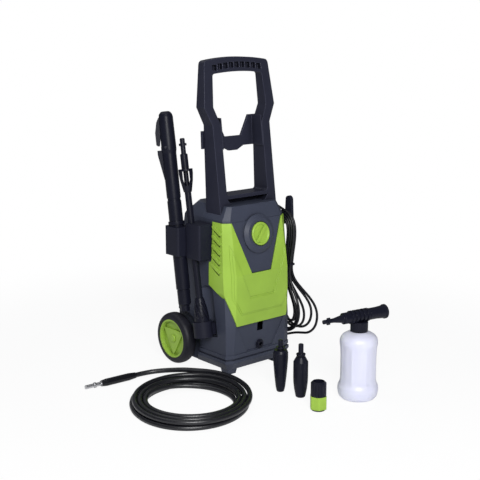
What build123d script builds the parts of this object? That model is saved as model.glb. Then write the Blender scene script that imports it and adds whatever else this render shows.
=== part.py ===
"""Upright electric pressure washer with its spray gun, lance, mains lead, hose and hand tools.

Millimetres, +Z up. The machine's front faces -Y and its middle plane is X = 0.
The origin lies on the floor under the middle of the body.
"""

import math
import os
from typing import NamedTuple

from build123d import *

os.makedirs("parts", exist_ok=True)

# Clearances
SEAT_GAP = 0.2
RUN_GAP = 0.05
FREE_GAP = 0.4

# Body shell
WALL = 4.0
HALF_WIDTH = 111.0
WAIST_TUCK = 1.0
SHOULDER_TUCK = 6.0
CROWN_TUCK = 25.0
WAIST_HALF = HALF_WIDTH - WAIST_TUCK
SHOULDER_HALF = HALF_WIDTH - SHOULDER_TUCK
CROWN_HALF = HALF_WIDTH - CROWN_TUCK
BODY_BOTTOM = 56.0
BELLY_Z = 135.0
WAIST_Z = 270.0
SHOULDER_Z = 412.0
CROWN_Z = 446.0
FRONT_BOTTOM = 121.0
FRONT_BELLY = 127.0
FRONT_WAIST = 126.0
FRONT_SHOULDER = 105.0
FRONT_CROWN = 97.0
REAR_BOTTOM = 112.0
REAR_WAIST = 108.0
REAR_SHOULDER = 88.0
REAR_CROWN = 52.0
REAR_CORNER = 26.0
PARTING = 12.0
REAR_VENT_COUNT = 7
REAR_VENT_PITCH = 16.0
REAR_VENT_LENGTH = 104.0
REAR_VENT_SLOT = 5.0
REAR_VENT_Z = 265.0

# Base tray and feet
BASE_BOTTOM = 14.0
BASE_FLOOR = 6.0
SKIRT_Z = 34.0
SKIRT_PROUD = 3.0
GROOVE_Z = 42.0
GROOVE_HEIGHT = 4.0
LIP_PROUD = 1.5
BASE_TUCK = 10.0
FOOT_IN = 28.0
FOOT_X = HALF_WIDTH - FOOT_IN
FOOT_Y = -92.0
FOOT_SIZE = 34.0
FOOT_TAPER = 5.0

# Wheels and axle
WHEEL_R = 70.0
TYRE_WIDTH = 36.0
TYRE_STAND = 5.0
TYRE_IN_X = HALF_WIDTH + TYRE_STAND
WHEEL_Y = 68.0
RIM_R = 53.0
TYRE_CROWN = 4.0
HUB_DISH = 7.0
HUB_FACE_R = 47.0
HUB_LIP = 1.0
HUB_STEP = 5.0
HUB_CHORD = 24.0
HUB_CHORD_TURN = 180.0
HUB_WEB = 9.0
HUB_RIM = 4.0
HUB_INSET = 3.0
HUB_BOSS_R = 12.0
AXLE_R = 6.0
AXLE_PROUD = 1.5
AXLE_CAP_R = 11.0
AXLE_CAP_RISE = 2.0
AXLE_EAR_IN = 27.0
AXLE_EAR_X = HALF_WIDTH - AXLE_EAR_IN
AXLE_EAR_THICK = 10.0
AXLE_EAR_WIDTH = 30.0
WELL_DEPTH = 12.0
WELL_X = HALF_WIDTH - WELL_DEPTH
WELL_ROOM = 6.0

# Front cover, control panel and knob
COVER_PROUD = 3.2
COVER_LOW_IN = 24.0
COVER_LOW_HALF = HALF_WIDTH - COVER_LOW_IN
COVER_LOW_Z = 135.0
COVER_KNEE_Z = 208.0
COVER_TIP_Z = 238.0
COVER_REAR = 47.0
COVER_NOTCH = 57.0
COVER_NOTCH_Z = 302.0
COVER_TOP_Z = 406.0
VEE_TOP_IN = 22.0
VEE_TOP_HALF = HALF_WIDTH - VEE_TOP_IN
VEE_RUN = 55.0
VEE_LOW_HALF = VEE_TOP_HALF - VEE_RUN
VEE_LOW_Z = 270.0
PANEL_GAP = 1.2
PANEL_PROUD = 1.6
RAISED_PROUD = 2.4
RAISED_STEP = 4.0
RAISED_SIDE_IN = 13.0
RAISED_LOW_IN = 15.0
RAISED_RISE = 29.0
RAISED_VEE_DROP = 62.0
RAISED_VEE_OUT = 6.0
RAISED_TOP_Z = 350.0
LOUVRE_COUNT = 5
LOUVRE_PITCH = 25.0
LOUVRE_LENGTH = 40.0
LOUVRE_SLOT = 5.0
LOUVRE_HOOD = 9.0
LOUVRE_PROUD = 3.0
LOUVRE_TOP_Z = 386.0
LOUVRE_Y = -77.0
LOUVRE_SLANT = 30.0
KNOB_Z = 369.0
KNOB_R = 30.5
KNOB_HEIGHT = 18.0
KNOB_RIM = 3.0
KNOB_EASE = 2.0
KNOB_RIDGE = 9.0
KNOB_RIDGE_HEIGHT = 4.0
KNOB_RIDGE_TURN = 50.0
KNOB_ROOM = 2.0
KNOB_MARK_R = 2.2
KNOB_MARK_UP = 4.0
BEZEL_R = 51.0
BEZEL_TOP_R = 41.0
BEZEL_HEIGHT = 13.0
SPINDLE_R = 4.0
SWITCH_SIZE = 44.0
SWITCH_DEPTH = 34.0

# Lower front recess and the high-pressure outlet
RECESS_DEPTH = 2.6
RECESS_TOP_IN = 27.0
RECESS_TOP_Z = 132.0
RECESS_LOW_IN = 66.0
RECESS_LOW_Z = 59.0
SLOT_HALF = 10.0
SLOT_LOW_Z = 108.0
OUTLET_Z = 70.0
OUTLET_R = 10.0
OUTLET_BORE_R = 5.5
OUTLET_BORE_DEPTH = 20.0
OUTLET_FLANGE_R = 12.5
OUTLET_FLANGE = 3.5
OUTLET_STAND = 1.7
OUTLET_PROUD = 6.5

# Water inlet
INLET_Z = 96.0
INLET_THREAD_R = 13.2
INLET_THREAD = 18.0
INLET_BORE_R = 8.0
INLET_FLANGE_R = 19.0
INLET_FLANGE = 4.0

# Handle frame
HANDLE_TOP = 823.0
GRIP_SIDE = 10.0
GRIP_EDGE_DROP = 9.0
GRIP_CORNER = 12.0
GRIP_THICK = 37.0
GRIP_UNDER_DROP = 5.0
GRIP_POST = 24.0
WIDE_SIDE = 22.0
WIDE_DROP = 125.0
WIDE_POST = 29.0
NECK_TUCK = 7.0
NECK_DROP = 171.0
NECK_POST = 27.0
POST_SINK = 42.0
LOW_BAR_RISE = 25.0
LOW_BAR_THICK = 9.0
LOW_BAR_SETBACK = 36.0
FOOT_FLARE = 14.0
FRONT_AT_FOOT = -77.0
FRONT_LEAN = 0.1314
BACK_AT_FOOT = -20.0
BACK_LEAN = 0.04
LEAN_FROM_Z = 438.0
FRAME_REACH = 120.0
WINDOW_CORNER = 7.0
POCKET_COUNT = 9
POCKET_PITCH = 18.8
POCKET_WIDTH = 15.0
POCKET_HEIGHT = 15.5
POCKET_DEPTH = 12.0
POCKET_RISE = 6.0
POCKET_DROP = 26.0
NECK_HALF = SHOULDER_HALF - NECK_TUCK
NECK_INNER = NECK_HALF - NECK_POST
NECK_Z = HANDLE_TOP - NECK_DROP
WIDE_HALF = NECK_HALF + WIDE_SIDE
WIDE_INNER = WIDE_HALF - WIDE_POST
WIDE_Z = HANDLE_TOP - WIDE_DROP
GRIP_HALF = NECK_HALF + GRIP_SIDE
GRIP_INNER = GRIP_HALF - GRIP_POST
GRIP_EDGE_Z = HANDLE_TOP - GRIP_EDGE_DROP
GRIP_UNDER_Z = HANDLE_TOP - GRIP_THICK
GRIP_UNDER_EDGE_Z = GRIP_UNDER_Z - GRIP_UNDER_DROP
POST_FOOT_Z = CROWN_Z - POST_SINK
LOW_BAR_TOP = CROWN_Z + LOW_BAR_RISE
LOW_BAR_SHELF = LOW_BAR_TOP - LOW_BAR_THICK
POCKET_Z = HANDLE_TOP - POCKET_DROP

# Cross brace
BRACE_DROP = 233.0
BRACE_DIP = 11.0
BRACE_DIP_HALF = 14.0
BRACE_DIP_RUN = 22.0
BRACE_HEIGHT = 27.0
BRACE_TAB = 6.0
BRACE_TAB_HEIGHT = 46.0
BRACE_THICK = 6.0
EAR_RISE = 80.0
EAR_FOOT = 28.0
EAR_TOP = 55.0
EAR_OVER_POST = 17.0
CHEEK_THICK = 3.0
CHEEK_LAP = 1.0
BRACE_LOW_Z = HANDLE_TOP - BRACE_DROP
BRACE_HALF = NECK_HALF + BRACE_TAB

# Spray gun: it leans back in its holder
GUN_STAND = 39.0
GUN_X = -HALF_WIDTH - GUN_STAND
GUN_LOW_Y = 6.0
GUN_LOW_Z = 162.0
GUN_LEAN = 8.4
GUN_LENGTH = 527.0
GUN_STUB = 16.0
GUN_STUB_R = 12.0
GUN_CAP = 40.0
GUN_CAP_R = 17.0
GUN_GROOVE = 3.0
GUN_BARREL_R = 18.5
GUN_NECK_R = 18.5
GUN_COLLAR_R = 21.5
GUN_COLLAR_AT = 231.0
GUN_COLLAR = 8.0
GUN_BAND_AT = 62.0
GUN_BAND = 8.0
GUN_BAND_DEEP = 1.5
GRIP_LENGTH = 100.0
GRIP_R = 20.0
GRIP_TOP_R = 19.0
GRIP_ROUND = 14.0
GRIP_EASE = 2.0
FIN_LENGTH = 77.0
FIN_PROUD = 10.0
FIN_THICK = 12.0
TRIGGER_DROP = 19.0
TRIGGER_LENGTH = 70.0
TRIGGER_WIDTH = 13.0
TRIGGER_PROUD = 11.0
TRIGGER_PIN_R = 2.0
TRIGGER_PIN_IN = 4.0
TRIGGER_EAR = 4.0
TRIGGER_SLOT_DEPTH = 17.0
TRIGGER_SLOT_OVER = 8.0
TRIGGER_SLOT_UNDER = 2.0
LOCK_R = 3.5
LOCK_UP = 7.0
LOCK_PROUD = 2.5
GUN_HOLDER_LOW_Z = 311.0
GUN_HOLDER_TOP_Z = 387.0
GUN_HOLDER_FRONT = 6.0
GUN_HOLDER_REAR = 62.0
GUN_HOLDER_HALF = 23.0
HOLDER_ROUND = 6.0
GUN_WEB_HALF = 14.0

# Lance: it stands in a cup and clips into a block
LANCE_STAND = 26.0
LANCE_X = -HALF_WIDTH - LANCE_STAND
LANCE_LOW_Y = -53.5
LANCE_LOW_Z = 105.0
LANCE_LEAN = 9.17
LANCE_TUBE_R = 8.5
TUBE_SOCKET = 20.0
NOZZLE_LENGTH = 100.0
NOZZLE_R = 20.0
NOZZLE_MOUTH_R = 12.0
NOZZLE_EASE = 2.0
SWIRL_COUNT = 10
SWIRL_TILT = 24.0
SWIRL_WIDTH = 3.2
SWIRL_DEPTH = 2.2
SWIRL_FROM = 46.0
SWIRL_TO = 92.0
LANCE_SHAFT_TOP = 384.0
COLLAR_LAP = 5.0
FORK_LENGTH = 60.0
FORK_R = 18.5
FORK_LIP = 6.0
FORK_WINDOW = 19.0
FORK_WINDOW_FROM = 16.0
STEM_R = 6.5
STEM_LOW_R = 9.8
STEM_LOW = 40.0
STEM_LENGTH = 80.0
STEM_EASE = 2.0
LUG_REACH = 10.0
CUP_R = 25.0
CUP_WALL = 4.0
CUP_HEIGHT = 38.0
CUP_FLOOR = 4.0
LANCE_HOLDER_LOW_Z = 307.0
LANCE_HOLDER_TOP_Z = 400.0
LANCE_HOLDER_FRONT = -54.0
LANCE_HOLDER_REAR = 4.0
LANCE_HOLDER_SIDE = 13.0
LANCE_HOLDER_OUT = LANCE_X - LANCE_HOLDER_SIDE
CLIP_MOUTH = 14.0
NICHE_R = 36.0
NICHE_LOW_Z = 96.0
NICHE_TOP_Z = 226.0

# Motor and pump
PUMP_Y = 4.0
PUMP_HEAD_X = 108.0
PUMP_HEAD_DEPTH = 108.0
PUMP_HEAD_LOW = 46.0
PUMP_HEAD_TOP = 110.0
PILLAR_R = 7.0
PILLAR_X = 36.0
PILLAR_Y = 30.0
PUMP_CASE_R = 52.0
PUMP_CASE_WALL = 5.0
PUMP_CASE_TOP = 160.0
PISTON_COUNT = 3
PISTON_R = 8.0
PISTON_RING = 26.0
PISTON_STAND = 22.0
PORT_DEPTH = 10.0
PLATE_R = 36.0
PLATE_THICK = 8.0
PLATE_TILT = 8.0
PLATE_Z = 142.0
MOTOR_R = 55.0
MOTOR_WALL = 3.0
MOTOR_END = 10.0
MOTOR_TOP = 310.0
STATOR_BORE = 34.0
STATOR_LOW = 195.0
STATOR_TOP = 255.0
CORE_GAP = 0.6
SHAFT_R = 6.0
SHAFT_LOW = 122.0
SHAFT_TOP = 336.0
BEARING_R = 14.0
BEARING_THICK = 9.0
FAN_DROP = 22.0
FAN_LOW = SHAFT_TOP - FAN_DROP
FAN_HEIGHT = 16.0
FAN_R = 46.0
FAN_HUB_R = 14.0
FAN_BLADES = 9
FAN_BLADE_THICK = 2.5
PIPE_R = 6.5
PIPE_BORE = 3.5
FEED_R = 10.0
FEED_BORE = 7.0
STOP_SWITCH_X = 26.0
STOP_SWITCH_Y = 30.0
STOP_SWITCH_Z = 34.0

# Cable hook, gland and mains lead
HOOK_Y = -74.0
HOOK_ARM_Z = 378.0
HOOK_ARM_R = 6.0
HOOK_REACH = 35.0
PADDLE_X = HALF_WIDTH + HOOK_REACH
PADDLE_THICK = 9.0
PADDLE_RISE = 70.0
PADDLE_TOP_Z = HOOK_ARM_Z + PADDLE_RISE
PADDLE_LOW_HALF = 14.0
PADDLE_TOP_HALF = 10.5
CORD_D = 7.0
GLAND_Y = 60.0
GLAND_Z = 384.0
GLAND_R = 9.0
GLAND_TIP_R = 5.5
GLAND_LENGTH = 16.0
HANK_STEP = 7.9
HANK_STAND = 15.0
HANK_X = HALF_WIDTH + HANK_STAND
HANK_TOP_R = 43.0
HANK_FOOT_R = 75.0
HANK_WAIST = 5.0
HANK_BOTTOM_Z = 100.0
HANK_FROM = 0.5
HANK_TURN = 3.75
HANK_TO = 7.0
HANK_FAN = 70.0
HANK_SPREAD = 0.8
HANK_SLACK = 0.5
HANK_DROOP = 8.0
HANK_STATIONS = 8
TIE_Z = 262.0
TIE_HEIGHT = 5.0
TIE_THICK = 1.8
TIE_TAIL = 24.0
PLUG_X = 178.0
PLUG_Y = 66.0
PLUG_R = 17.0
PLUG_LENGTH = 48.0
PLUG_NECK_R = 6.0
PLUG_NECK = 22.0
PIN_R = 2.4
PIN_LENGTH = 19.0
PIN_SPREAD = 19.0

# High-pressure hose, laid down in a coil
HOSE_D = 12.6
HOSE_STEP = 13.2
COIL_X = -311.0
COIL_Y = -217.0
COIL_TURN_DEG = -41.0
COIL_ACROSS = 107.0
COIL_STEP = 13.9
COIL_ALONG = 107.0
COIL_SPREAD = 25.7
COIL_DRIFT = 7.0
COIL_REVERSE = 3.0
COIL_TO = 6.0
COIL_STATIONS = 8
SPIGOT_R = 5.3
SPIGOT_LENGTH = 30.0
SLEEVE_R = 9.5
SLEEVE_END_R = 7.5
SLEEVE_LENGTH = 103.0
TIP_R = 5.0
TIP_COLLAR_R = 7.0
TIP_LENGTH = 45.0

# Hand tools on the floor
TURBO_X = -75.0
TURBO_Y = -283.0
TURBO_R = 19.0
TURBO_LOW_R = 9.6
TURBO_HEIGHT = 109.0
TURBO_STEM = 26.0
FAN_TOOL_X = -64.0
FAN_TOOL_Y = -344.0
FAN_TOOL_R = 18.5
FAN_TOOL_LOW_R = 12.0
FAN_TOOL_HEIGHT = 104.0
FAN_TOOL_STEM = 33.0
TOOL_NECK_R = 8.5
TOOL_FLANGE_R = 11.5
TOOL_FLANGE = 4.0
TOOL_STEM_R = 6.4
TOOL_EASE = 1.5
TAP_X = -93.0
TAP_Y = -435.0
TAP_R = 19.0
TAP_BORE_R = 13.2
TAP_BORE_DEPTH = 31.0
TAP_HEIGHT = 72.0
TAP_EASE = 4.0
TAP_RIBS = 16
TAP_RIB_R = 1.2
TAP_SHANK_R = 16.5
TAP_RING_LOW = 4.0
TAP_RING_FLAT = 19.0
TAP_RING_R = 21.0
TAP_RING_HEIGHT = 32.0
TAP_RING_TURN = 49.0
BOTTLE_X = 39.0
BOTTLE_Y = -441.0
BOTTLE_R = 50.3
BOTTLE_NECK_R = 19.0
BOTTLE_HEIGHT = 172.0
BOTTLE_WALL = 1.8
CAP_R = 21.7
CAP_HEIGHT = 25.0
CAP_RIBS = 24
CAP_RIB_R = 0.9
FOAM_TURN_DEG = -10.0
FOAM_AXIS_UP = 13.0
FOAM_NOSE = 108.0
FOAM_TIP_R = 5.2
FOAM_LUG_R = 9.0
FOAM_LUG = 8.0
FOAM_CONE_R = 10.0
FOAM_TAIL = 26.0
FOAM_R = 14.0
FOAM_RIB_R = 16.5
FOAM_RIBS = 5
FOAM_SPIGOT_R = 10.0
FOAM_SPIGOT = 24.0
FOAM_SLEEVE = 52.0
FOAM_SLEEVE_R = 14.6
FOAM_FLARE_R = 18.0
FOAM_LIP = 3.0

SCREW_HEAD_R = 4.5
SCREW_HEAD = 3.0
SCREW_X = 62.0


class Level(NamedTuple):
    """The body's plan at one height: how far it reaches and how its front corners are cut."""

    height: float
    front: float
    half: float
    run: float
    setback: float
    rear: float


BODY_LEVELS = (
    Level(BODY_BOTTOM, FRONT_BOTTOM, HALF_WIDTH, 20, 8, REAR_BOTTOM),
    Level(BELLY_Z, FRONT_BELLY, HALF_WIDTH, 22, 14, REAR_BOTTOM),
    Level(WAIST_Z, FRONT_WAIST, WAIST_HALF, 22, 22, REAR_WAIST),
    Level(SHOULDER_Z, FRONT_SHOULDER, SHOULDER_HALF, 17, 12, REAR_SHOULDER),
    Level(CROWN_Z, FRONT_CROWN, CROWN_HALF, 10, 9, REAR_CROWN),
)


def finish(builder, name):
    """Label a finished piece and write it out."""
    builder.part.label = name
    export_step(builder.part, f"parts/{name}.step")


def front_at(z):
    """How far the body's front stands before the middle at a height."""
    for low, high in zip(BODY_LEVELS, BODY_LEVELS[1:]):
        if z <= high.height:
            share = (z - low.height) / (high.height - low.height)
            return low.front + share * (high.front - low.front)
    return FRONT_CROWN


def rear_at(z):
    """How far the body's back stands behind the middle at a height."""
    for low, high in zip(BODY_LEVELS, BODY_LEVELS[1:]):
        if z <= high.height:
            share = (z - low.height) / (high.height - low.height)
            return low.rear + share * (high.rear - low.rear)
    return REAR_CROWN


def body_plan(level, grow, height):
    """The body's plan at one level, moved out by grow and set at a height."""
    right = (
        (level.half - level.run, -level.front),
        (level.half, level.setback - level.front),
        (level.half, level.rear - REAR_CORNER),
        (level.half - REAR_CORNER, level.rear),
    )
    left = [(-x, y) for x, y in reversed(right)]
    with BuildSketch(Plane.XY.offset(height)) as plan:
        with BuildLine():
            Polyline(*right, *left, close=True)
        make_face()
        if grow:
            offset(amount=grow, kind=Kind.INTERSECTION)
    return plan.sketch


def body_block(grow=0.0):
    """The whole body as one solid with straight flanks between its levels, moved out by grow."""
    plans = [body_plan(level, grow, level.height) for level in BODY_LEVELS[:-1]]
    plans.append(body_plan(BODY_LEVELS[-1], grow, CROWN_Z + grow))
    with BuildPart() as block:
        loft(plans, ruled=True)
    return block.part


def axial(frame):
    """The plane through a frame's axis in which a point is (radius, height along the axis)."""
    return Plane(origin=frame.origin, x_dir=frame.x_dir, z_dir=-frame.y_dir)


def turn(frame, *outline, mode=Mode.ADD):
    """Turn an outline of (radius, height) points about a frame's axis."""
    with BuildSketch(axial(frame)) as profile:
        with BuildLine():
            Polyline(*outline, close=True)
        make_face()
    revolve(profile.sketch, axis=Axis(frame.origin, frame.z_dir), mode=mode)


def upright(x, y, z=0.0):
    """A frame whose axis points up."""
    return Plane(origin=(x, y, z), x_dir=(1, 0, 0), z_dir=(0, 0, 1))


def leaning(x, y, z, degrees, towards=(1, 0, 0)):
    """A frame whose axis points up and leans back by some degrees; its X looks towards a direction."""
    lean = math.radians(degrees)
    axis = Vector(0, math.sin(lean), math.cos(lean))
    side = Vector(*towards)
    side = side - axis * side.dot(axis)
    return Plane(origin=(x, y, z), x_dir=side.normalized(), z_dir=axis)


def bar_across(radius, half_length, y, z, mode=Mode.ADD):
    """A round bar along X."""
    with Locations(Location((0, y, z), (0, 90, 0))):
        Cylinder(radius, 2 * half_length, mode=mode)


def wheel_wells(room, inner_x):
    """Take the room for both wheels out of the body."""
    reach = 2 * HALF_WIDTH
    for side in (-1, 1):
        with Locations(Location((side * (inner_x + reach / 2), WHEEL_Y, WHEEL_R), (0, 90, 0))):
            Cylinder(WHEEL_R + room, reach, mode=Mode.SUBTRACT)


def box_between(low, high, mode=Mode.ADD):
    """A block from one corner to the opposite one."""
    size = [b - a for a, b in zip(low, high)]
    with Locations(tuple((a + b) / 2 for a, b in zip(low, high))):
        Box(*size, mode=mode)


KNOB_PITCH = math.atan2(FRONT_WAIST - FRONT_SHOULDER, SHOULDER_Z - WAIST_Z)
KNOB_FRAME = Plane(
    origin=(0, -front_at(KNOB_Z), KNOB_Z),
    x_dir=(1, 0, 0),
    z_dir=(0, -math.cos(KNOB_PITCH), math.sin(KNOB_PITCH)),
)
GUN = leaning(GUN_X, GUN_LOW_Y, GUN_LOW_Z, GUN_LEAN, towards=(-0.754, 0.657, 0))
LANCE = leaning(LANCE_X, LANCE_LOW_Y, LANCE_LOW_Z, LANCE_LEAN, towards=(0.754, -0.657, 0))
PUMP = upright(0, PUMP_Y)
MOTOR_LOW = PUMP_CASE_TOP

# Handle frame: the front outline carried back, cut by the leaning side outline
HANDLE_BACK = Plane(
    origin=(0, BACK_AT_FOOT, LEAN_FROM_Z),
    x_dir=(1, 0, 0),
    z_dir=Vector(0, -1, BACK_LEAN).normalized(),
)


def post_front(z):
    """Where the handle's front face stands at a height."""
    return FRONT_AT_FOOT + FRONT_LEAN * (z - LEAN_FROM_Z)


def post_back(z):
    """Where the handle's back face stands at a height."""
    return BACK_AT_FOOT + BACK_LEAN * (z - LEAN_FROM_Z)


with BuildPart() as handle_frame:
    with BuildSketch(Plane.XZ):
        with BuildLine():
            ThreePointArc((-GRIP_HALF, GRIP_EDGE_Z), (0, HANDLE_TOP), (GRIP_HALF, GRIP_EDGE_Z))
            Polyline(
                (GRIP_HALF, GRIP_EDGE_Z),
                (WIDE_HALF, WIDE_Z),
                (NECK_HALF, NECK_Z),
                (NECK_HALF, POST_FOOT_Z),
                (-NECK_HALF, POST_FOOT_Z),
                (-NECK_HALF, NECK_Z),
                (-WIDE_HALF, WIDE_Z),
                (-GRIP_HALF, GRIP_EDGE_Z),
            )
        outer = make_face()
        fillet(outer.vertices().filter_by_position(Axis.Y, GRIP_EDGE_Z - 1, GRIP_EDGE_Z + 1), GRIP_CORNER)
        with BuildSketch(mode=Mode.SUBTRACT):
            with BuildLine():
                ThreePointArc(
                    (-GRIP_INNER, GRIP_UNDER_EDGE_Z), (0, GRIP_UNDER_Z), (GRIP_INNER, GRIP_UNDER_EDGE_Z)
                )
                Polyline(
                    (GRIP_INNER, GRIP_UNDER_EDGE_Z),
                    (WIDE_INNER, WIDE_Z),
                    (NECK_INNER, NECK_Z),
                    (NECK_INNER, LOW_BAR_TOP),
                    (-NECK_INNER, LOW_BAR_TOP),
                    (-NECK_INNER, NECK_Z),
                    (-WIDE_INNER, WIDE_Z),
                    (-GRIP_INNER, GRIP_UNDER_EDGE_Z),
                )
            window = make_face()
            fillet(window.vertices(), WINDOW_CORNER)
        with Locations((0, (POST_FOOT_Z + CROWN_Z) / 2)):
            Rectangle(2 * NECK_INNER, CROWN_Z - POST_FOOT_Z, mode=Mode.SUBTRACT)
    extrude(amount=FRAME_REACH, both=True)
    with BuildSketch(Plane.YZ):
        Polygon(
            (post_front(POST_FOOT_Z), POST_FOOT_Z),
            (post_back(POST_FOOT_Z), POST_FOOT_Z),
            (post_back(HANDLE_TOP), HANDLE_TOP),
            (post_front(HANDLE_TOP), HANDLE_TOP),
            align=None,
        )
    extrude(amount=2 * WIDE_HALF, both=True, mode=Mode.INTERSECT)
    bar_front = post_front(CROWN_Z) + LOW_BAR_SETBACK
    with BuildSketch(Plane.XZ.offset(-bar_front)):
        Polygon(
            (-NECK_INNER + FOOT_FLARE, CROWN_Z),
            (NECK_INNER - FOOT_FLARE, CROWN_Z),
            (NECK_INNER, LOW_BAR_SHELF),
            (-NECK_INNER, LOW_BAR_SHELF),
            align=None,
        )
    extrude(amount=FRAME_REACH, mode=Mode.SUBTRACT)
    with BuildSketch(Plane.XZ.offset(-post_front(POCKET_Z) - POCKET_DEPTH)):
        pocket_half = POCKET_PITCH * (POCKET_COUNT - 1) / 2
        for index in range(POCKET_COUNT):
            x = index * POCKET_PITCH - pocket_half
            with Locations((x, POCKET_Z + POCKET_RISE * (1 - (x / pocket_half) ** 2))):
                Rectangle(POCKET_WIDTH, POCKET_HEIGHT)
    extrude(amount=2 * POCKET_DEPTH, mode=Mode.SUBTRACT)



def both_sides(right):
    """An outline of (across, height) points on the right, carried on over the left."""
    return right + tuple((-x, z) for x, z in reversed(right))


# Cross brace: a plate behind the posts with a dip, side tabs and ears, and a cheek along each post
BRACE_LOW = BRACE_LOW_Z - LEAN_FROM_Z
EAR_OUT = NECK_INNER + EAR_OVER_POST
with BuildPart() as cross_brace:
    with BuildSketch(HANDLE_BACK):
        Polygon(
            *both_sides(
                (
                    (BRACE_DIP_HALF, BRACE_LOW - BRACE_DIP),
                    (BRACE_DIP_HALF + BRACE_DIP_RUN, BRACE_LOW),
                    (BRACE_HALF, BRACE_LOW),
                    (BRACE_HALF, BRACE_LOW + BRACE_TAB_HEIGHT),
                    (EAR_OUT, BRACE_LOW + BRACE_TAB_HEIGHT),
                    (EAR_OUT, BRACE_LOW + EAR_RISE),
                    (EAR_TOP, BRACE_LOW + EAR_RISE),
                    (EAR_FOOT, BRACE_LOW + BRACE_HEIGHT),
                )
            ),
            align=None,
        )
    extrude(amount=-BRACE_THICK)
    ear_top_z = BRACE_LOW_Z + EAR_RISE
    for side in (-1, 1):
        with BuildSketch(Plane.YZ.offset(side * (NECK_INNER - SEAT_GAP - CHEEK_THICK / 2))):
            Polygon(
                (post_back(BRACE_LOW_Z) + CHEEK_LAP, BRACE_LOW_Z),
                (post_front(BRACE_LOW_Z), BRACE_LOW_Z),
                (post_front(ear_top_z), ear_top_z),
                (post_back(ear_top_z) + CHEEK_LAP, ear_top_z),
                align=None,
            )
        extrude(amount=CHEEK_THICK / 2, both=True)
finish(cross_brace, "cross_brace")

# Body form and the room inside it
with BuildPart() as body_form:
    add(body_block())
    wheel_wells(WELL_ROOM, WELL_X)
    turn(
        LANCE,
        (0, NICHE_LOW_Z - LANCE_LOW_Z),
        (NICHE_R, NICHE_LOW_Z - LANCE_LOW_Z),
        (NICHE_R, NICHE_TOP_Z - LANCE_LOW_Z),
        (0, NICHE_TOP_Z - LANCE_LOW_Z + NICHE_R),
        mode=Mode.SUBTRACT,
    )

with BuildPart() as body_room:
    add(body_block(-WALL))
    wheel_wells(WELL_ROOM + WALL, WELL_X - WALL)
    turn(
        LANCE,
        (0, NICHE_LOW_Z - LANCE_LOW_Z - WALL),
        (NICHE_R + WALL, NICHE_LOW_Z - LANCE_LOW_Z - WALL),
        (NICHE_R + WALL, NICHE_TOP_Z - LANCE_LOW_Z + WALL),
        (0, NICHE_TOP_Z - LANCE_LOW_Z + NICHE_R + 2 * WALL),
        mode=Mode.SUBTRACT,
    )

with BuildPart() as recess_form:
    with BuildSketch(Plane.XZ.offset(FRONT_CROWN)):
        Polygon(
            *both_sides(
                (
                    (HALF_WIDTH - RECESS_LOW_IN, RECESS_LOW_Z),
                    (HALF_WIDTH - RECESS_TOP_IN, RECESS_TOP_Z),
                )
            ),
            align=None,
        )
    extrude(amount=FRONT_CROWN)
    add(body_block(-RECESS_DEPTH), mode=Mode.SUBTRACT)

with BuildPart() as body_shell:
    add(body_form.part)
    add(body_room.part, mode=Mode.SUBTRACT)
    add(handle_frame.part, mode=Mode.SUBTRACT)
    bar_across(AXLE_R + SEAT_GAP, HALF_WIDTH, WHEEL_Y, WHEEL_R, Mode.SUBTRACT)

# Front housing: the front half of the shell, with the recess, the dark slot and the outlet's hole
with BuildPart() as front_housing:
    add(body_shell.part)
    split(bisect_by=Plane.XZ.offset(PARTING), keep=Keep.TOP)
    add(recess_form.part, mode=Mode.SUBTRACT)
    box_between((-SLOT_HALF, -2 * FRONT_BELLY, SLOT_LOW_Z), (SLOT_HALF, 0, COVER_LOW_Z), Mode.SUBTRACT)
    with Locations(Location((0, -FRONT_BOTTOM, OUTLET_Z), (90, 0, 0))):
        Cylinder(OUTLET_R, 4 * WALL, mode=Mode.SUBTRACT)
    turn(
        KNOB_FRAME,
        (0, -3 * WALL),
        (SWITCH_SIZE / 2, -3 * WALL),
        (SWITCH_SIZE / 2, WALL),
        (0, WALL),
        mode=Mode.SUBTRACT,
    )
finish(front_housing, "front_housing")

# Rear housing: the rear half, with cooling slots and the holes of the inlet and the cable gland
with BuildPart() as rear_housing:
    add(body_shell.part)
    split(bisect_by=Plane.XZ.offset(PARTING), keep=Keep.BOTTOM)
    with BuildSketch(Plane.XZ):
        with Locations((0, REAR_VENT_Z)):
            with GridLocations(1, REAR_VENT_PITCH, 1, REAR_VENT_COUNT):
                SlotOverall(REAR_VENT_LENGTH, REAR_VENT_SLOT)
    extrude(amount=-2 * REAR_BOTTOM, mode=Mode.SUBTRACT)
    with Locations(Location((0, REAR_BOTTOM, INLET_Z), (90, 0, 0))):
        Cylinder(INLET_THREAD_R, 4 * WALL, mode=Mode.SUBTRACT)
    with Locations(Location((SHOULDER_HALF, GLAND_Y, GLAND_Z), (0, 90, 0))):
        Cylinder(GLAND_TIP_R, 6 * WALL, mode=Mode.SUBTRACT)
finish(rear_housing, "rear_housing")

# The posts reach down into the shell
finish(handle_frame, "handle_frame")

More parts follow.
